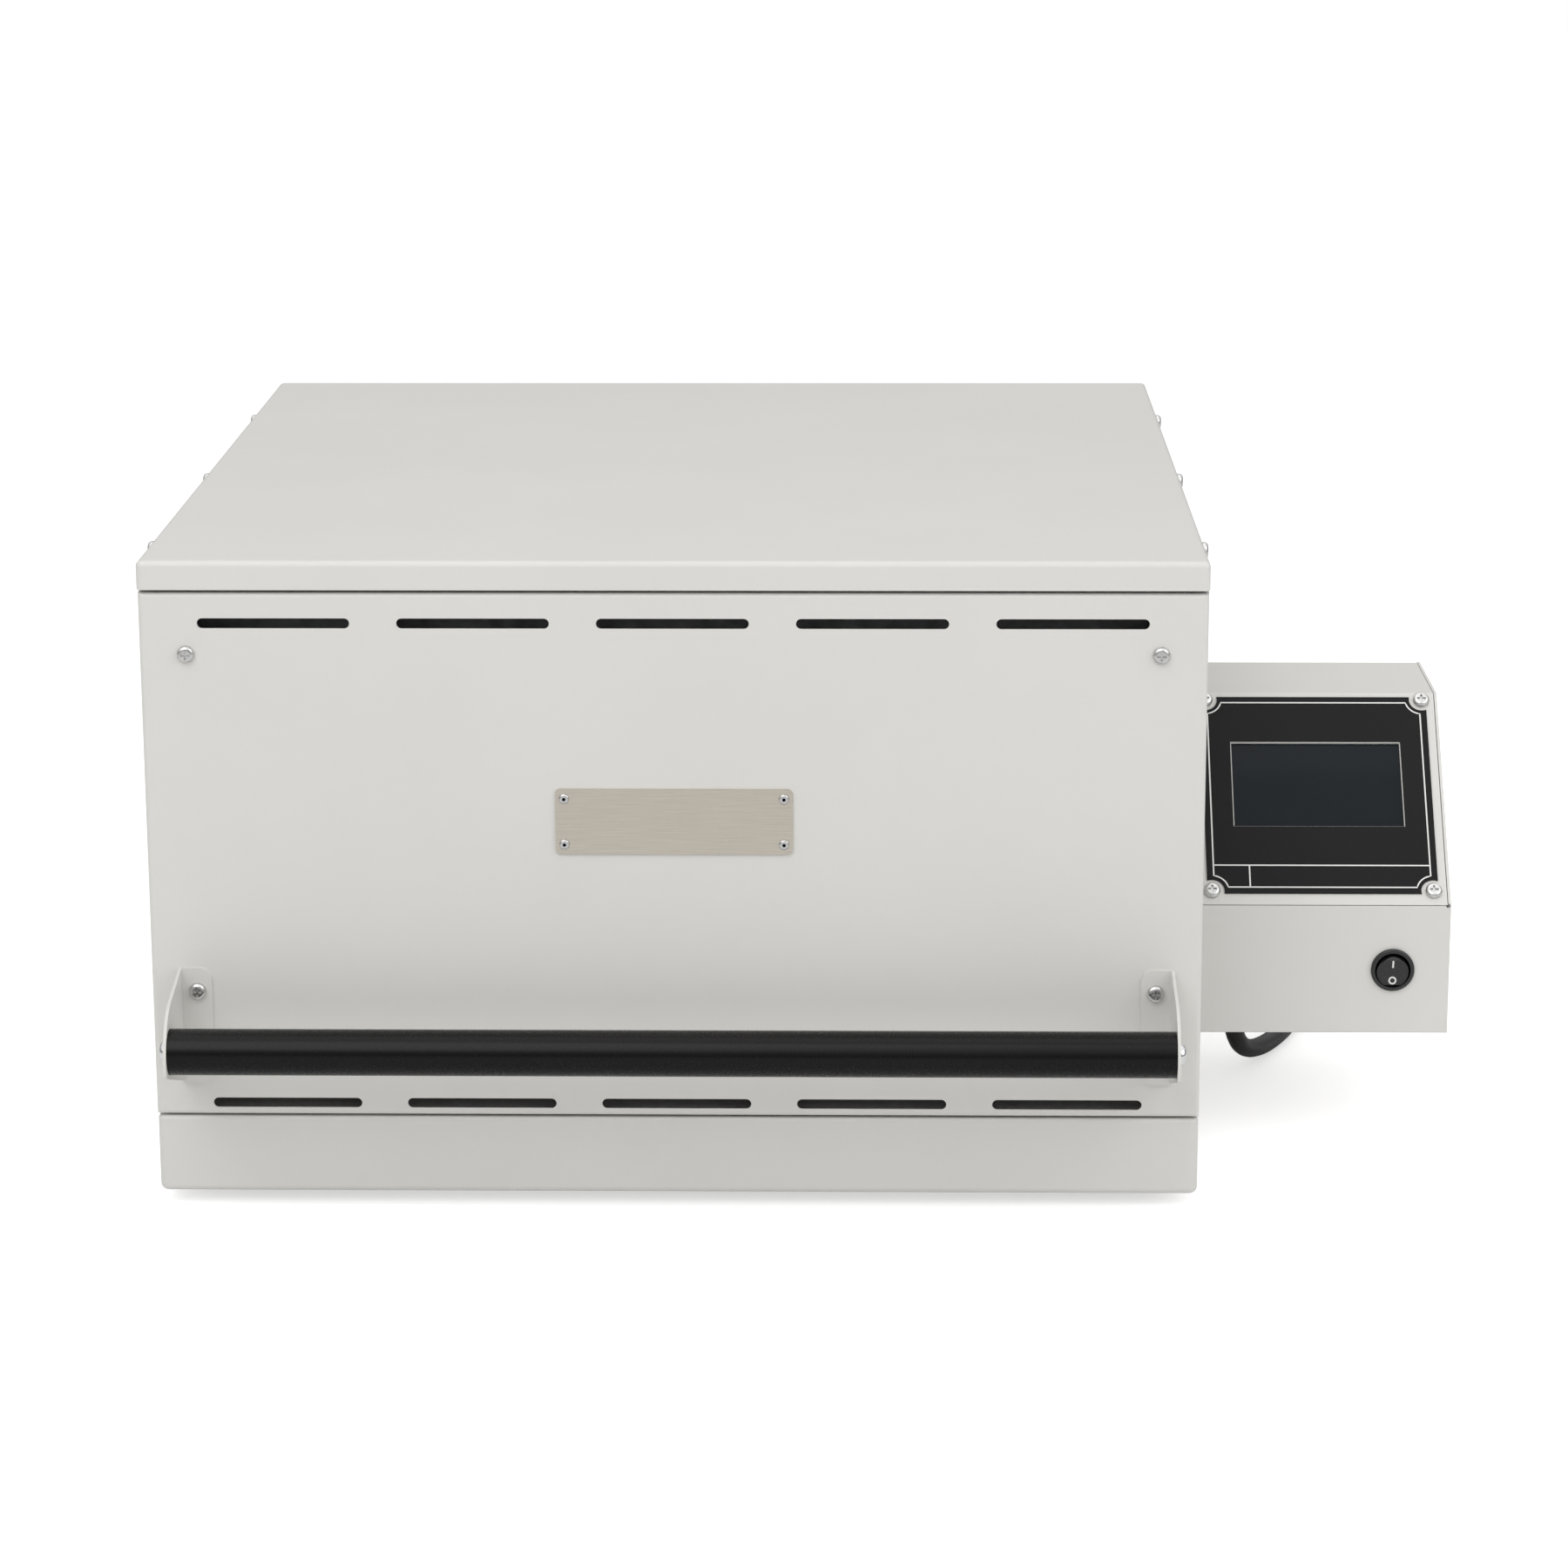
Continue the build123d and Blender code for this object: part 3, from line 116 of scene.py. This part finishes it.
def curvePiece(name, points, thickness, kind="NURBS", sides=3, closed=False):
    curve = bpy.data.curves.new(name, "CURVE")
    curve.dimensions = "3D"
    curve.bevel_depth = thickness
    curve.bevel_resolution = sides
    curve.resolution_u = 6
    curve.use_fill_caps = True
    spline = curve.splines.new(kind)
    spline.points.add(len(points) - 1)
    for place, point in zip(spline.points, points):
        place.co = (*point, 1)
    spline.use_cyclic_u = closed
    if kind == "NURBS":
        spline.order_u = 3
        spline.use_endpoint_u = not closed
    return link(name, curve)


# Materials. Each finish has its own function, all in the object's own coordinates
def newFinish(name, colour, roughness, metal=0.0):
    finish = bpy.data.materials.new(name)
    finish.use_nodes = True
    shader = finish.node_tree.nodes["Principled BSDF"]
    shader.inputs["Base Color"].default_value = (*colour, 1)
    shader.inputs["Roughness"].default_value = roughness
    shader.inputs["Metallic"].default_value = metal
    return finish, finish.node_tree, shader


def noiseOf(tree, scale, stretch=(1, 1, 1), detail=3.0, rough=0.55):
    place = tree.nodes.new("ShaderNodeTexCoord")
    mapping = tree.nodes.new("ShaderNodeMapping")
    mapping.inputs["Scale"].default_value = stretch
    noise = tree.nodes.new("ShaderNodeTexNoise")
    noise.inputs["Scale"].default_value = scale
    noise.inputs["Detail"].default_value = detail
    noise.inputs["Roughness"].default_value = rough
    tree.links.new(place.outputs["Object"], mapping.inputs["Vector"])
    tree.links.new(mapping.outputs["Vector"], noise.inputs["Vector"])
    return noise.outputs["Fac"]


noiseSpan = (0.3, 0.7)     # where a noise's values mostly lie
tintSpan = (0.32, 0.68)


def spread(tree, source, low, high):
    # a noise value turned into a range of its own
    span = tree.nodes.new("ShaderNodeMapRange")
    span.inputs["From Min"].default_value = noiseSpan[0]
    span.inputs["From Max"].default_value = noiseSpan[1]
    span.inputs["To Min"].default_value = low
    span.inputs["To Max"].default_value = high
    tree.links.new(source, span.inputs["Value"])
    return span.outputs["Result"]


def tint(tree, shader, source, darker, lighter):
    ramp = tree.nodes.new("ShaderNodeValToRGB")
    ramp.color_ramp.elements[0].position = tintSpan[0]
    ramp.color_ramp.elements[1].position = tintSpan[1]
    ramp.color_ramp.elements[0].color = (*darker, 1)
    ramp.color_ramp.elements[1].color = (*lighter, 1)
    tree.links.new(source, ramp.inputs["Fac"])
    tree.links.new(ramp.outputs["Color"], shader.inputs["Base Color"])


def relief(tree, shader, source, strength, height):
    bump = tree.nodes.new("ShaderNodeBump")
    bump.inputs["Strength"].default_value = strength
    bump.inputs["Distance"].default_value = height
    tree.links.new(source, bump.inputs["Height"])
    tree.links.new(bump.outputs["Normal"], shader.inputs["Normal"])


def shade(colour, factor):
    return tuple(c * factor for c in colour)


coatLook = {"broad": 9.0, "smoother": 0.05, "rougher": 0.06, "relief": 0.35}


def coatedFinish(name, colour, roughness, grain, height, drift=0.03, gloss=0.5):
    # paint, powder coat or moulded plastic: fine peel on an even colour
    finish, tree, shader = newFinish(name, colour, roughness)
    shader.inputs["Specular IOR Level"].default_value = gloss
    peel = noiseOf(tree, grain, detail=2.0)
    broad = noiseOf(tree, coatLook["broad"], detail=4.0)
    tint(tree, shader, broad, shade(colour, 1 - drift), shade(colour, 1 + drift))
    sheen = spread(tree, peel, roughness - coatLook["smoother"], roughness + coatLook["rougher"])
    tree.links.new(sheen, shader.inputs["Roughness"])
    relief(tree, shader, peel, coatLook["relief"], height)
    return finish


metalLook = {"darker": 0.88, "lighter": 1.08, "smoother": 0.08, "rougher": 0.1, "relief": 0.3}


def metalFinish(name, colour, roughness, grain, stretch=(1, 1, 1), height=0.00004):
    finish, tree, shader = newFinish(name, colour, roughness, 1.0)
    brushed = noiseOf(tree, grain, stretch, detail=4.0)
    tint(tree, shader, brushed, shade(colour, metalLook["darker"]), shade(colour, metalLook["lighter"]))
    sheen = spread(tree, brushed, roughness - metalLook["smoother"], roughness + metalLook["rougher"])
    tree.links.new(sheen, shader.inputs["Roughness"])
    relief(tree, shader, brushed, metalLook["relief"], height)
    return finish


fibreLook = {
    "roughness": 0.95,
    "hairs": 7,                # how much finer the hairs are than the clumps
    "stretch": (1, 1, 0.25),
    "darker": 0.9,
    "lighter": 1.05,
    "relief": 0.6,
    "height": 0.0007,
    "gloss": 0.2,
}


def fibreFinish(name, colour, grain):
    # pressed ceramic fibre: soft clumps with fine hairs over them
    finish, tree, shader = newFinish(name, colour, fibreLook["roughness"])
    clumps = noiseOf(tree, grain, detail=8.0, rough=0.7)
    hairs = noiseOf(tree, grain * fibreLook["hairs"], fibreLook["stretch"], detail=3.0)
    tint(tree, shader, clumps, shade(colour, fibreLook["darker"]), shade(colour, fibreLook["lighter"]))
    mix = tree.nodes.new("ShaderNodeMath")
    mix.operation = "ADD"
    tree.links.new(clumps, mix.inputs[0])
    tree.links.new(hairs, mix.inputs[1])
    relief(tree, shader, mix.outputs[0], fibreLook["relief"], fibreLook["height"])
    shader.inputs["Specular IOR Level"].default_value = fibreLook["gloss"]
    return finish


screenLook = {
    "colour": (0.012, 0.0155, 0.019),
    "darker": (0.011, 0.0142, 0.0175),
    "lighter": (0.013, 0.0168, 0.0205),
    "roughness": 0.12,
    "grain": 14.0,
    "gloss": 0.06,
    "coat": 0.12,
    "coatRoughness": 0.04,
}


def screenFinish(look):
    finish, tree, shader = newFinish("screenGlass", look["colour"], look["roughness"])
    tint(tree, shader, noiseOf(tree, look["grain"]), look["darker"], look["lighter"])
    shader.inputs["Specular IOR Level"].default_value = look["gloss"]
    shader.inputs["Coat Weight"].default_value = look["coat"]
    shader.inputs["Coat Roughness"].default_value = look["coatRoughness"]
    return finish


boardLook = {
    "colour": (0.02, 0.16, 0.07),
    "mask": (0.012, 0.11, 0.05),
    "tracks": (0.03, 0.2, 0.09),
    "roughness": 0.4,
    "grain": 260.0,
    "stretch": (1, 0.2, 0.2),
}


def boardFinish(look):
    # solder mask with lighter tracks
    finish, tree, shader = newFinish("circuitBoard", look["colour"], look["roughness"])
    tint(tree, shader, noiseOf(tree, look["grain"], look["stretch"]), look["mask"], look["tracks"])
    return finish


powderColour = (0.715, 0.705, 0.675)
finishes = {
    "powder_coat": coatedFinish("powderCoat", powderColour, 0.42, 1100.0, 0.00005, 0.012),
    "zinc_screw": metalFinish("zincPlate", (0.62, 0.62, 0.61), 0.30, 700.0),
    "polished_screw": metalFinish("polishedSteel", (0.74, 0.74, 0.75), 0.16, 500.0, height=0.00001),
    "coated_steel": metalFinish("aluminisedSteel", (0.50, 0.51, 0.52), 0.42, 120.0),
    "foot_rubber": coatedFinish("footRubber", (0.022, 0.022, 0.023), 0.75, 900.0, 0.0001, 0.15),
    "fibre_board": fibreFinish("fibreBoard", (0.80, 0.775, 0.72), 130.0),
    "hearth_ceramic": fibreFinish("hearthCeramic", (0.70, 0.63, 0.52), 420.0),
    "white_ceramic": coatedFinish("whiteCeramic", (0.80, 0.78, 0.72), 0.55, 600.0, 0.00005, 0.04),
    "heating_wire": metalFinish("heatingWire", (0.16, 0.14, 0.13), 0.55, 900.0),
    "rope_gasket": fibreFinish("ropeGasket", (0.70, 0.68, 0.62), 380.0),
    "plate_steel": metalFinish("brushedPlate", (0.60, 0.555, 0.485), 0.33, 60.0, (0.6, 40, 40)),
    "rivet_steel": metalFinish("rivetSteel", (0.60, 0.60, 0.60), 0.28, 900.0),
    "handle_black": coatedFinish("handleBlack", (0.004, 0.004, 0.004), 0.27, 1300.0, 0.00003, 0.1, 0.18),
    "handle_plug_plastic": coatedFinish("plugPlastic", (0.02, 0.02, 0.02), 0.6, 900.0, 0.00005, 0.1),
    "overlay_black": coatedFinish("overlayBlack", (0.010, 0.0097, 0.010), 0.44, 1500.0, 0.00006, 0.1, 0.13),
    "screen_glass": screenFinish(screenLook),
    "circuit_board": boardFinish(boardLook),
    "spacer_nylon": coatedFinish("spacerNylon", (0.74, 0.73, 0.69), 0.5, 700.0, 0.00003),
    "switch_black": coatedFinish("switchBlack", (0.018, 0.018, 0.019), 0.36, 1500.0, 0.00004, 0.1),
    "rocker_black": coatedFinish("rockerBlack", (0.014, 0.014, 0.015), 0.26, 1500.0, 0.00002, 0.1),
    "brass_clamp": metalFinish("brassClamp", (0.70, 0.53, 0.26), 0.32, 500.0),
    "sink_aluminium": metalFinish("sinkAluminium", (0.70, 0.70, 0.72), 0.34, 90.0, (1, 12, 1)),
    "relay_black": coatedFinish("relayBlack", (0.025, 0.025, 0.026), 0.5, 900.0, 0.00005, 0.1),
    "gland_nylon": coatedFinish("glandNylon", (0.022, 0.022, 0.023), 0.45, 900.0, 0.00005, 0.1),
    "cord_rubber": coatedFinish("cordRubber", (0.014, 0.014, 0.015), 0.46, 800.0, 0.00006, 0.12),
    "plug_rubber": coatedFinish("plugRubber", (0.018, 0.018, 0.019), 0.5, 700.0, 0.00008, 0.12),
    "plug_brass": metalFinish("nickelledBrass", (0.64, 0.60, 0.50), 0.28, 500.0),
}
inkWhite = coatedFinish("inkWhite", (0.82, 0.82, 0.80), 0.5, 1500.0, 0.00001, 0.01)
for row in frame["record"]["subparts"]:
    for place in nodes[row["node"]].material_slots:
        place.material = finishes[row["material_slot"]]
print("finishes on every node")

# Mains cord: the route's points are those of the solids, in metres, and a coil of spare length
cordSizes = {
    "radius": 0.0052,
    "rest": 0.0054,
    "start": [(0.301, 0.226, 0.038), (0.301, 0.226, 0.026), (0.308, 0.237, 0.011)],
    "floor": [(0.322, 0.262), (0.338, 0.298), (0.350, 0.345), (0.356, 0.400), (0.354, 0.452),
              (0.345, 0.500), (0.331, 0.541), (0.309, 0.574), (0.280, 0.596), (0.245, 0.6056),
              (0.202, 0.6056)],
    "coilCentre": (0.170, 0.668),
    "outerTurn": 0.0624,
    "innerTurn": 0.0520,
    "turns": 3.5,
    "pointsPerTurn": 16,
    "inward": (0.74, 0.98),    # in turns from the start of the coil
    "climb": (1.68, 1.93),
    "outward": (2.42, 2.66),
    "tail": [(0.202, 0.7304, 0.0158), (0.224, 0.7304, 0.0158), (0.244, 0.7324, 0.0142),
             (0.264, 0.7354, 0.0142)],
}


def easeBetween(span, value):
    share = min(1.0, max(0.0, (value - span[0]) / (span[1] - span[0])))
    return share * share * (3 - 2 * share)


def coilPoints(size):
    points = []
    count = size["pointsPerTurn"]
    pull = 1 / cos(pi / count)  # the spline runs inside its points by this much
    step = size["outerTurn"] - size["innerTurn"]
    for i in range(1, int(size["turns"] * count)):
        turn = i / count
        inward = easeBetween(size["inward"], turn) - easeBetween(size["outward"], turn)
        reach = (size["outerTurn"] - step * inward) * pull
        height = size["rest"] + 2 * size["radius"] * easeBetween(size["climb"], turn)
        angle = -pi / 2 - 2 * pi * turn
        x = size["coilCentre"][0] + reach * cos(angle)
        y = size["coilCentre"][1] + reach * sin(angle)
        points.append((x, y, height))
    return points


def makeCord(size):
    route = list(size["start"])
    route += [(x, y, size["rest"]) for x, y in size["floor"]]
    route += coilPoints(size)
    route += size["tail"]
    points = [Vector(p) - kilnOrigin for p in route]
    cord = curvePiece("mainsCord", points, size["radius"], sides=6)
    finished(cord, "case", finishes["cord_rubber"])
    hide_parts("cord_run", "cord_coil", "cord_tail")
    return cord, points[0]


tieSizes = {
    "clear": 0.0007,           # from the cord, and from the floor
    "bend": 0.004,
    "bendSteps": 4,
    "halfWidth": 0.004,
    "halfThickness": 0.0005,
}


def makeTie(size, tieSize):
    # flat strap round the stacked turns, on the coil's left
    middle = Vector((*size["coilCentre"], 0)) - kilnOrigin
    clear, bend, steps = tieSize["clear"], tieSize["bend"], tieSize["bendSteps"]
    half, thick = tieSize["halfWidth"], tieSize["halfThickness"]
    inner = size["innerTurn"] - size["radius"] - clear
    outer = size["outerTurn"] + size["radius"] + clear
    low, high = clear, size["rest"] + 3 * size["radius"] + clear
    loop = []
    for cx, cz, first in ((outer, high, 0), (inner, high, 90), (inner, low, 180), (outer, low, 270)):
        for i in range(steps + 1):
            angle = radians(first + i * 90 / steps)
            loop.append((cx - bend * (1 if cx == outer else -1) + bend * cos(angle),
                         cz - bend * (1 if cz == high else -1) + bend * sin(angle)))
    points, faces = [], []
    count = len(loop)
    for across, out in ((-half, thick), (half, thick), (half, -thick), (-half, -thick)):
        for i, (r, z) in enumerate(loop):
            before, after = loop[i - 1], loop[(i + 1) % count]
            along = Vector((after[0] - before[0], after[1] - before[1])).normalized()
            points.append(middle + Vector((-(r + along.y * out), across, z - along.x * out)))
    for band in range(4):
        for i in range(count):
            j = (i + 1) % count
            a, b = band * count, ((band + 1) % 4) * count
            faces.append((a + i, a + j, b + j, b + i))
    tie = meshPiece("cordTie", points, faces)
    return finished(tie, "case", finishes["gland_nylon"])


cord, cordExit = makeCord(cordSizes)
tie = makeTie(cordSizes, tieSizes)
print("cord laid")

# Heating coils in their grooves
heaterSizes = {
    "coilRadius": 0.0038,
    "wireRadius": 0.0007,
    "pitch": 0.0046,
    "pointsPerTurn": 8,
    "bend": 0.009,
    "pathStep": 0.002,
    "inset": 0.0045,           # from the solid's sides to the coil's middle
    "leadInset": 0.004,        # from the solid's front to the coil's end
    "wallFront": 76.0,         # where the coil turns up on the left wall, mm
}


def roundedPath(points, radius, step):
    # a path of straight runs whose right-angled corners turn into arcs
    path = [points[0]]
    for before, corner, after in zip(points, points[1:], points[2:]):
        inDir = (corner - before).normalized()
        outDir = (after - corner).normalized()
        count = max(2, int(radius * pi / 2 / step))
        for i in range(count + 1):
            share = i / count
            angle = share * pi / 2
            path.append(corner - inDir * radius * (1 - sin(angle)) + outDir * radius * (1 - cos(angle)))
    path.append(points[-1])
    return path


def makeHeater(name, node, size):
    low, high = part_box(node)
    inset = size["inset"]
    grooveLow, grooveHigh = low.z + inset, high.z - inset
    left, right = low.x + inset, high.x - inset
    back = high.y - inset
    start = low.y + size["leadInset"]
    wallFront = kilnPoint(0, size["wallFront"], 0).y
    corners = [Vector(p) for p in (
        (right, start, grooveLow), (right, back, grooveLow), (left, back, grooveLow),
        (left, wallFront, grooveLow), (left, wallFront, grooveHigh), (left, back, grooveHigh),
        (right, back, grooveHigh), (right, start, grooveHigh))]
    path = roundedPath(corners, size["bend"], size["pathStep"])
    points, travelled = [], 0.0
    for before, after in zip(path, path[1:]):
        run = (after - before).length
        along = (after - before).normalized()
        side = along.cross(Vector((0, 0, 1)))
        if side.length < 0.5:  # the run goes up
            side = along.cross(Vector((1, 0, 0)))
        side.normalize()
        other = along.cross(side)
        stepLength = size["pitch"] / size["pointsPerTurn"]
        count = max(1, round(run / stepLength))
        for i in range(count):
            angle = 2 * pi * (travelled + run * i / count) / size["pitch"]
            point = before.lerp(after, i / count)
            points.append(point + (side * cos(angle) + other * sin(angle)) * size["coilRadius"])
        travelled += run
    heater = curvePiece(name, points, size["wireRadius"], kind="POLY", sides=0)
    finished(heater, "case", finishes["heating_wire"])
    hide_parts(node)


makeHeater("heatingCoilLower", "element_lower", heaterSizes)
makeHeater("heatingCoilUpper", "element_upper", heaterSizes)
print("heating coils wound")

# Printed lines on the display's overlay, on the sloping face of the control box
slopeSizes = {
    "front": 100.0,
    "seam": 134.4,
    "run": (89.0, 93.6),       # how far the slope goes back and up
    "overlay": (336.8, 6.5, 121.4, 119.8),  # middle, bottom, width, height
    "thickness": 0.8,
    "screwSquare": 116.5,
    "inset": 3.6,
    "line": 0.75,
    "ink": 0.06,
    "footLine": 23.2,
    "divider": 298.7,
    "cornerRound": 8.8,
    "arcSteps": 8,
}


def slopePoint(size, x, up, out):
    reach = hypot(*size["run"])
    back, rise = size["run"][0] / reach, size["run"][1] / reach
    return kilnPoint(x, size["front"] + up * back - out * rise, size["seam"] + up * rise + out * back)


def printedStrip(name, size, path, closed=False):
    # a thin raised line of ink along points given on the slope
    points, faces = [], []
    count = len(path)
    for i, (x, up) in enumerate(path):
        before = path[i - 1] if closed or i else path[i]
        after = path[(i + 1) % count] if closed or i < count - 1 else path[i]
        along = Vector((after[0] - before[0], after[1] - before[1])).normalized()
        side = Vector((-along.y, along.x)) * size["line"] / 2
        base, top = size["thickness"], size["thickness"] + size["ink"]
        for shift, out in ((side, base), (side, top), (-side, top), (-side, base)):
            points.append(slopePoint(size, x + shift.x, up + shift.y, out))
    runs = count if closed else count - 1
    for i in range(runs):
        a, b = 4 * i, 4 * ((i + 1) % count)
        for k in range(4):
            faces.append((a + k, b + k, b + (k + 1) % 4, a + (k + 1) % 4))
    if not closed:
        faces += [(3, 2, 1, 0), tuple(4 * (count - 1) + k for k in range(4))]
    piece = meshPiece(name, points, faces)
    return finished(piece, "case", inkWhite)


def makeOverlayPrint(size):
    middle, bottom, width, height = size["overlay"]
    left, right = middle - width / 2 + size["inset"], middle + width / 2 - size["inset"]
    low, high = bottom + size["inset"], bottom + height - size["inset"]
    centre = bottom + height / 2
    half = size["screwSquare"] / 2
    reach, steps = size["cornerRound"], size["arcSteps"]
    border = []
    corners = ((right, high, 1, 1), (left, high, -1, 1), (left, low, -1, -1), (right, low, 1, -1))
    for x, up, sx, sz in corners:
        screwX, screwUp = middle + sx * half, centre + sz * half
        overX, overUp = (screwX - x), (screwUp - up)
        alongEdge = (reach ** 2 - overX ** 2) ** 0.5
        alongTop = (reach ** 2 - overUp ** 2) ** 0.5
        first = Vector((x - screwX, -sz * alongEdge))
        last = Vector((-sx * alongTop, up - screwUp))
        arc = [first.lerp(last, i / steps).normalized() * reach for i in range(steps + 1)]
        if sx * sz < 0:
            arc.reverse()
        border += [(screwX + p.x, screwUp + p.y) for p in arc]
    printedStrip("overlayBorder", size, border, closed=True)
    printedStrip("overlayFootLine", size, [(left, size["footLine"]), (right, size["footLine"])])
    foot = size["footLine"]
    printedStrip("overlayDivider", size, [(size["divider"], low), (size["divider"], foot)])


makeOverlayPrint(slopeSizes)
print("overlay printed")

# Marks on the rocker: a bar above, a ring below
rockerMarks = {
    "pivot": (374.0, 104.2, 99.0),
    "crown": 5.4,
    "tilt": 9.0,
    "offset": 4.7,
    "barHeight": 4.4,
    "barWidth": 0.9,
    "ringRadius": 2.1,
    "ringWidth": 0.8,
    "ink": 0.06,
    "sunk": 0.02,
}


def rockerFace(size, x, along, out):
    # a point on the tilted key: along is measured up its face from the pivot
    tilt = radians(size["tilt"])
    deep = -size["crown"] - abs(along) * tan(tilt) - out
    y = deep * cos(tilt) - along * sin(tilt)
    z = deep * sin(tilt) + along * cos(tilt)
    return kilnPoint(size["pivot"][0] + x, size["pivot"][1] + y, size["pivot"][2] + z)


def makeRockerMark(name, size, outline, hole=None):
    # closed outlines of (x, along), raised by the ink's thickness
    points, faces = [], []
    count = len(outline)
    rings = [outline] if hole is None else [outline, hole]
    for ring in rings:
        for out in (-size["sunk"], size["ink"]):
            points += [rockerFace(size, x, along, out) for x, along in ring]
    for k in range(len(rings)):
        base = 2 * count * k
        for i in range(count):
            j = (i + 1) % count
            faces.append((base + i, base + j, base + count + j, base + count + i))
    if hole is None:
        faces += [tuple(range(count, 2 * count)), tuple(reversed(range(count)))]
    else:
        for i in range(count):
            j = (i + 1) % count
            faces.append((count + i, count + j, 3 * count + j, 3 * count + i))
            faces.append((j, i, 2 * count + i, 2 * count + j))
    mark = meshPiece(name, points, faces)
    return finished(mark, "rocker", inkWhite)


def circleOutline(radius, middle, count=32):
    angles = [2 * pi * i / count for i in range(count)]
    return [(radius * cos(angle), middle + radius * sin(angle)) for angle in angles]


def makeRockerMarks(size):
    half, tall = size["barWidth"] / 2, size["barHeight"] / 2
    top = size["offset"]
    bar = [(-half, top - tall), (half, top - tall), (half, top + tall), (-half, top + tall)]
    makeRockerMark("rockerBar", size, bar)
    outer = circleOutline(size["ringRadius"], -top)
    inner = circleOutline(size["ringRadius"] - size["ringWidth"], -top)
    makeRockerMark("rockerRing", size, outer, inner)


makeRockerMarks(rockerMarks)
print("rocker marked")

# Floor, light and sky
studio = {
    "floorColour": (0.9, 0.9, 0.9),
    "floorRoughness": 0.9,
    "floorSize": 14.0,
    "lift": 0.55,              # the camera sees the floor this much lighter
    "sky": 0.50,
    "skyLow": 0.10,            # what gloss sees at the horizon
    "skySpan": (0.05, 0.55),   # the heights between which that sky brightens
    "aim": (0, 0, 0.2),
    "key": ((-1.1, -2.2, 2.6), 2.6, 40.0),
    "fill": ((2.2, -1.6, 1.9), 2.4, 24.0),
    "top": ((0.0, 0.3, 3.0), 2.6, 14.0),
}


def makeFloor(size):
    half = size["floorSize"] / 2
    floor = meshPiece("floor", [(-half, -half, 0), (half, -half, 0), (half, half, 0), (-half, half, 0)],
                      [(0, 1, 2, 3)])
    finish, tree, shader = newFinish("floorPaint", size["floorColour"], size["floorRoughness"])
    glow = tree.nodes.new("ShaderNodeEmission")
    ray = tree.nodes.new("ShaderNodeLightPath")
    add = tree.nodes.new("ShaderNodeAddShader")
    lift = tree.nodes.new("ShaderNodeMath")
    lift.operation = "MULTIPLY"
    lift.inputs[1].default_value = size["lift"]
    tree.links.new(ray.outputs["Is Camera Ray"], lift.inputs[0])
    tree.links.new(lift.outputs[0], glow.inputs["Strength"])
    output = tree.nodes["Material Output"]
    tree.links.new(shader.outputs["BSDF"], add.inputs[0])
    tree.links.new(glow.outputs["Emission"], add.inputs[1])
    tree.links.new(add.outputs["Shader"], output.inputs["Surface"])
    floor.data.materials.append(finish)


def makeSky(size):
    world = bpy.data.worlds.new("studioSky")
    bpy.context.scene.world = world
    world.use_nodes = True
    tree = world.node_tree
    light = tree.nodes["Background"]
    light.inputs["Color"].default_value = (1, 1, 1, 1)
    light.inputs["Strength"].default_value = size["sky"]
    seen = tree.nodes.new("ShaderNodeBackground")
    seen.inputs["Color"].default_value = (1, 1, 1, 1)
    ray = tree.nodes.new("ShaderNodeLightPath")
    # gloss sees a dome that darkens towards the horizon
    place = tree.nodes.new("ShaderNodeTexCoord")
    split = tree.nodes.new("ShaderNodeSeparateXYZ")
    dome = tree.nodes.new("ShaderNodeMapRange")
    dome.inputs["From Min"].default_value = size["skySpan"][0]
    dome.inputs["From Max"].default_value = size["skySpan"][1]
    dome.inputs["To Min"].default_value = size["skyLow"]
    dome.inputs["To Max"].default_value = 1.0
    brightest = tree.nodes.new("ShaderNodeMath")
    brightest.operation = "MAXIMUM"
    tree.links.new(place.outputs["Generated"], split.inputs["Vector"])
    tree.links.new(split.outputs["Z"], dome.inputs["Value"])
    tree.links.new(dome.outputs["Result"], brightest.inputs[0])
    tree.links.new(ray.outputs["Is Camera Ray"], brightest.inputs[1])
    tree.links.new(brightest.outputs[0], seen.inputs["Strength"])
    either = tree.nodes.new("ShaderNodeMath")
    either.operation = "MAXIMUM"
    mix = tree.nodes.new("ShaderNodeMixShader")
    tree.links.new(ray.outputs["Is Camera Ray"], either.inputs[0])
    tree.links.new(ray.outputs["Is Glossy Ray"], either.inputs[1])
    tree.links.new(either.outputs[0], mix.inputs["Fac"])
    tree.links.new(light.outputs["Background"], mix.inputs[1])
    tree.links.new(seen.outputs["Background"], mix.inputs[2])
    tree.links.new(mix.outputs["Shader"], tree.nodes["World Output"].inputs["Surface"])


def makeLamp(name, aimed, place, width, power):
    data = bpy.data.lights.new(name, "AREA")
    data.shape = "SQUARE"
    data.size = width
    data.energy = power
    lamp = link(name, data)
    aim = Vector(aimed) - Vector(place)
    lamp.location = place
    lamp.rotation_euler = aim.to_track_quat("-Z", "Y").to_euler()


makeFloor(studio)
makeSky(studio)
for lampName in ("key", "fill", "top"):
    makeLamp(lampName, studio["aim"], *studio[lampName])
bpy.context.scene.view_settings.view_transform = "Standard"
print("studio lit")
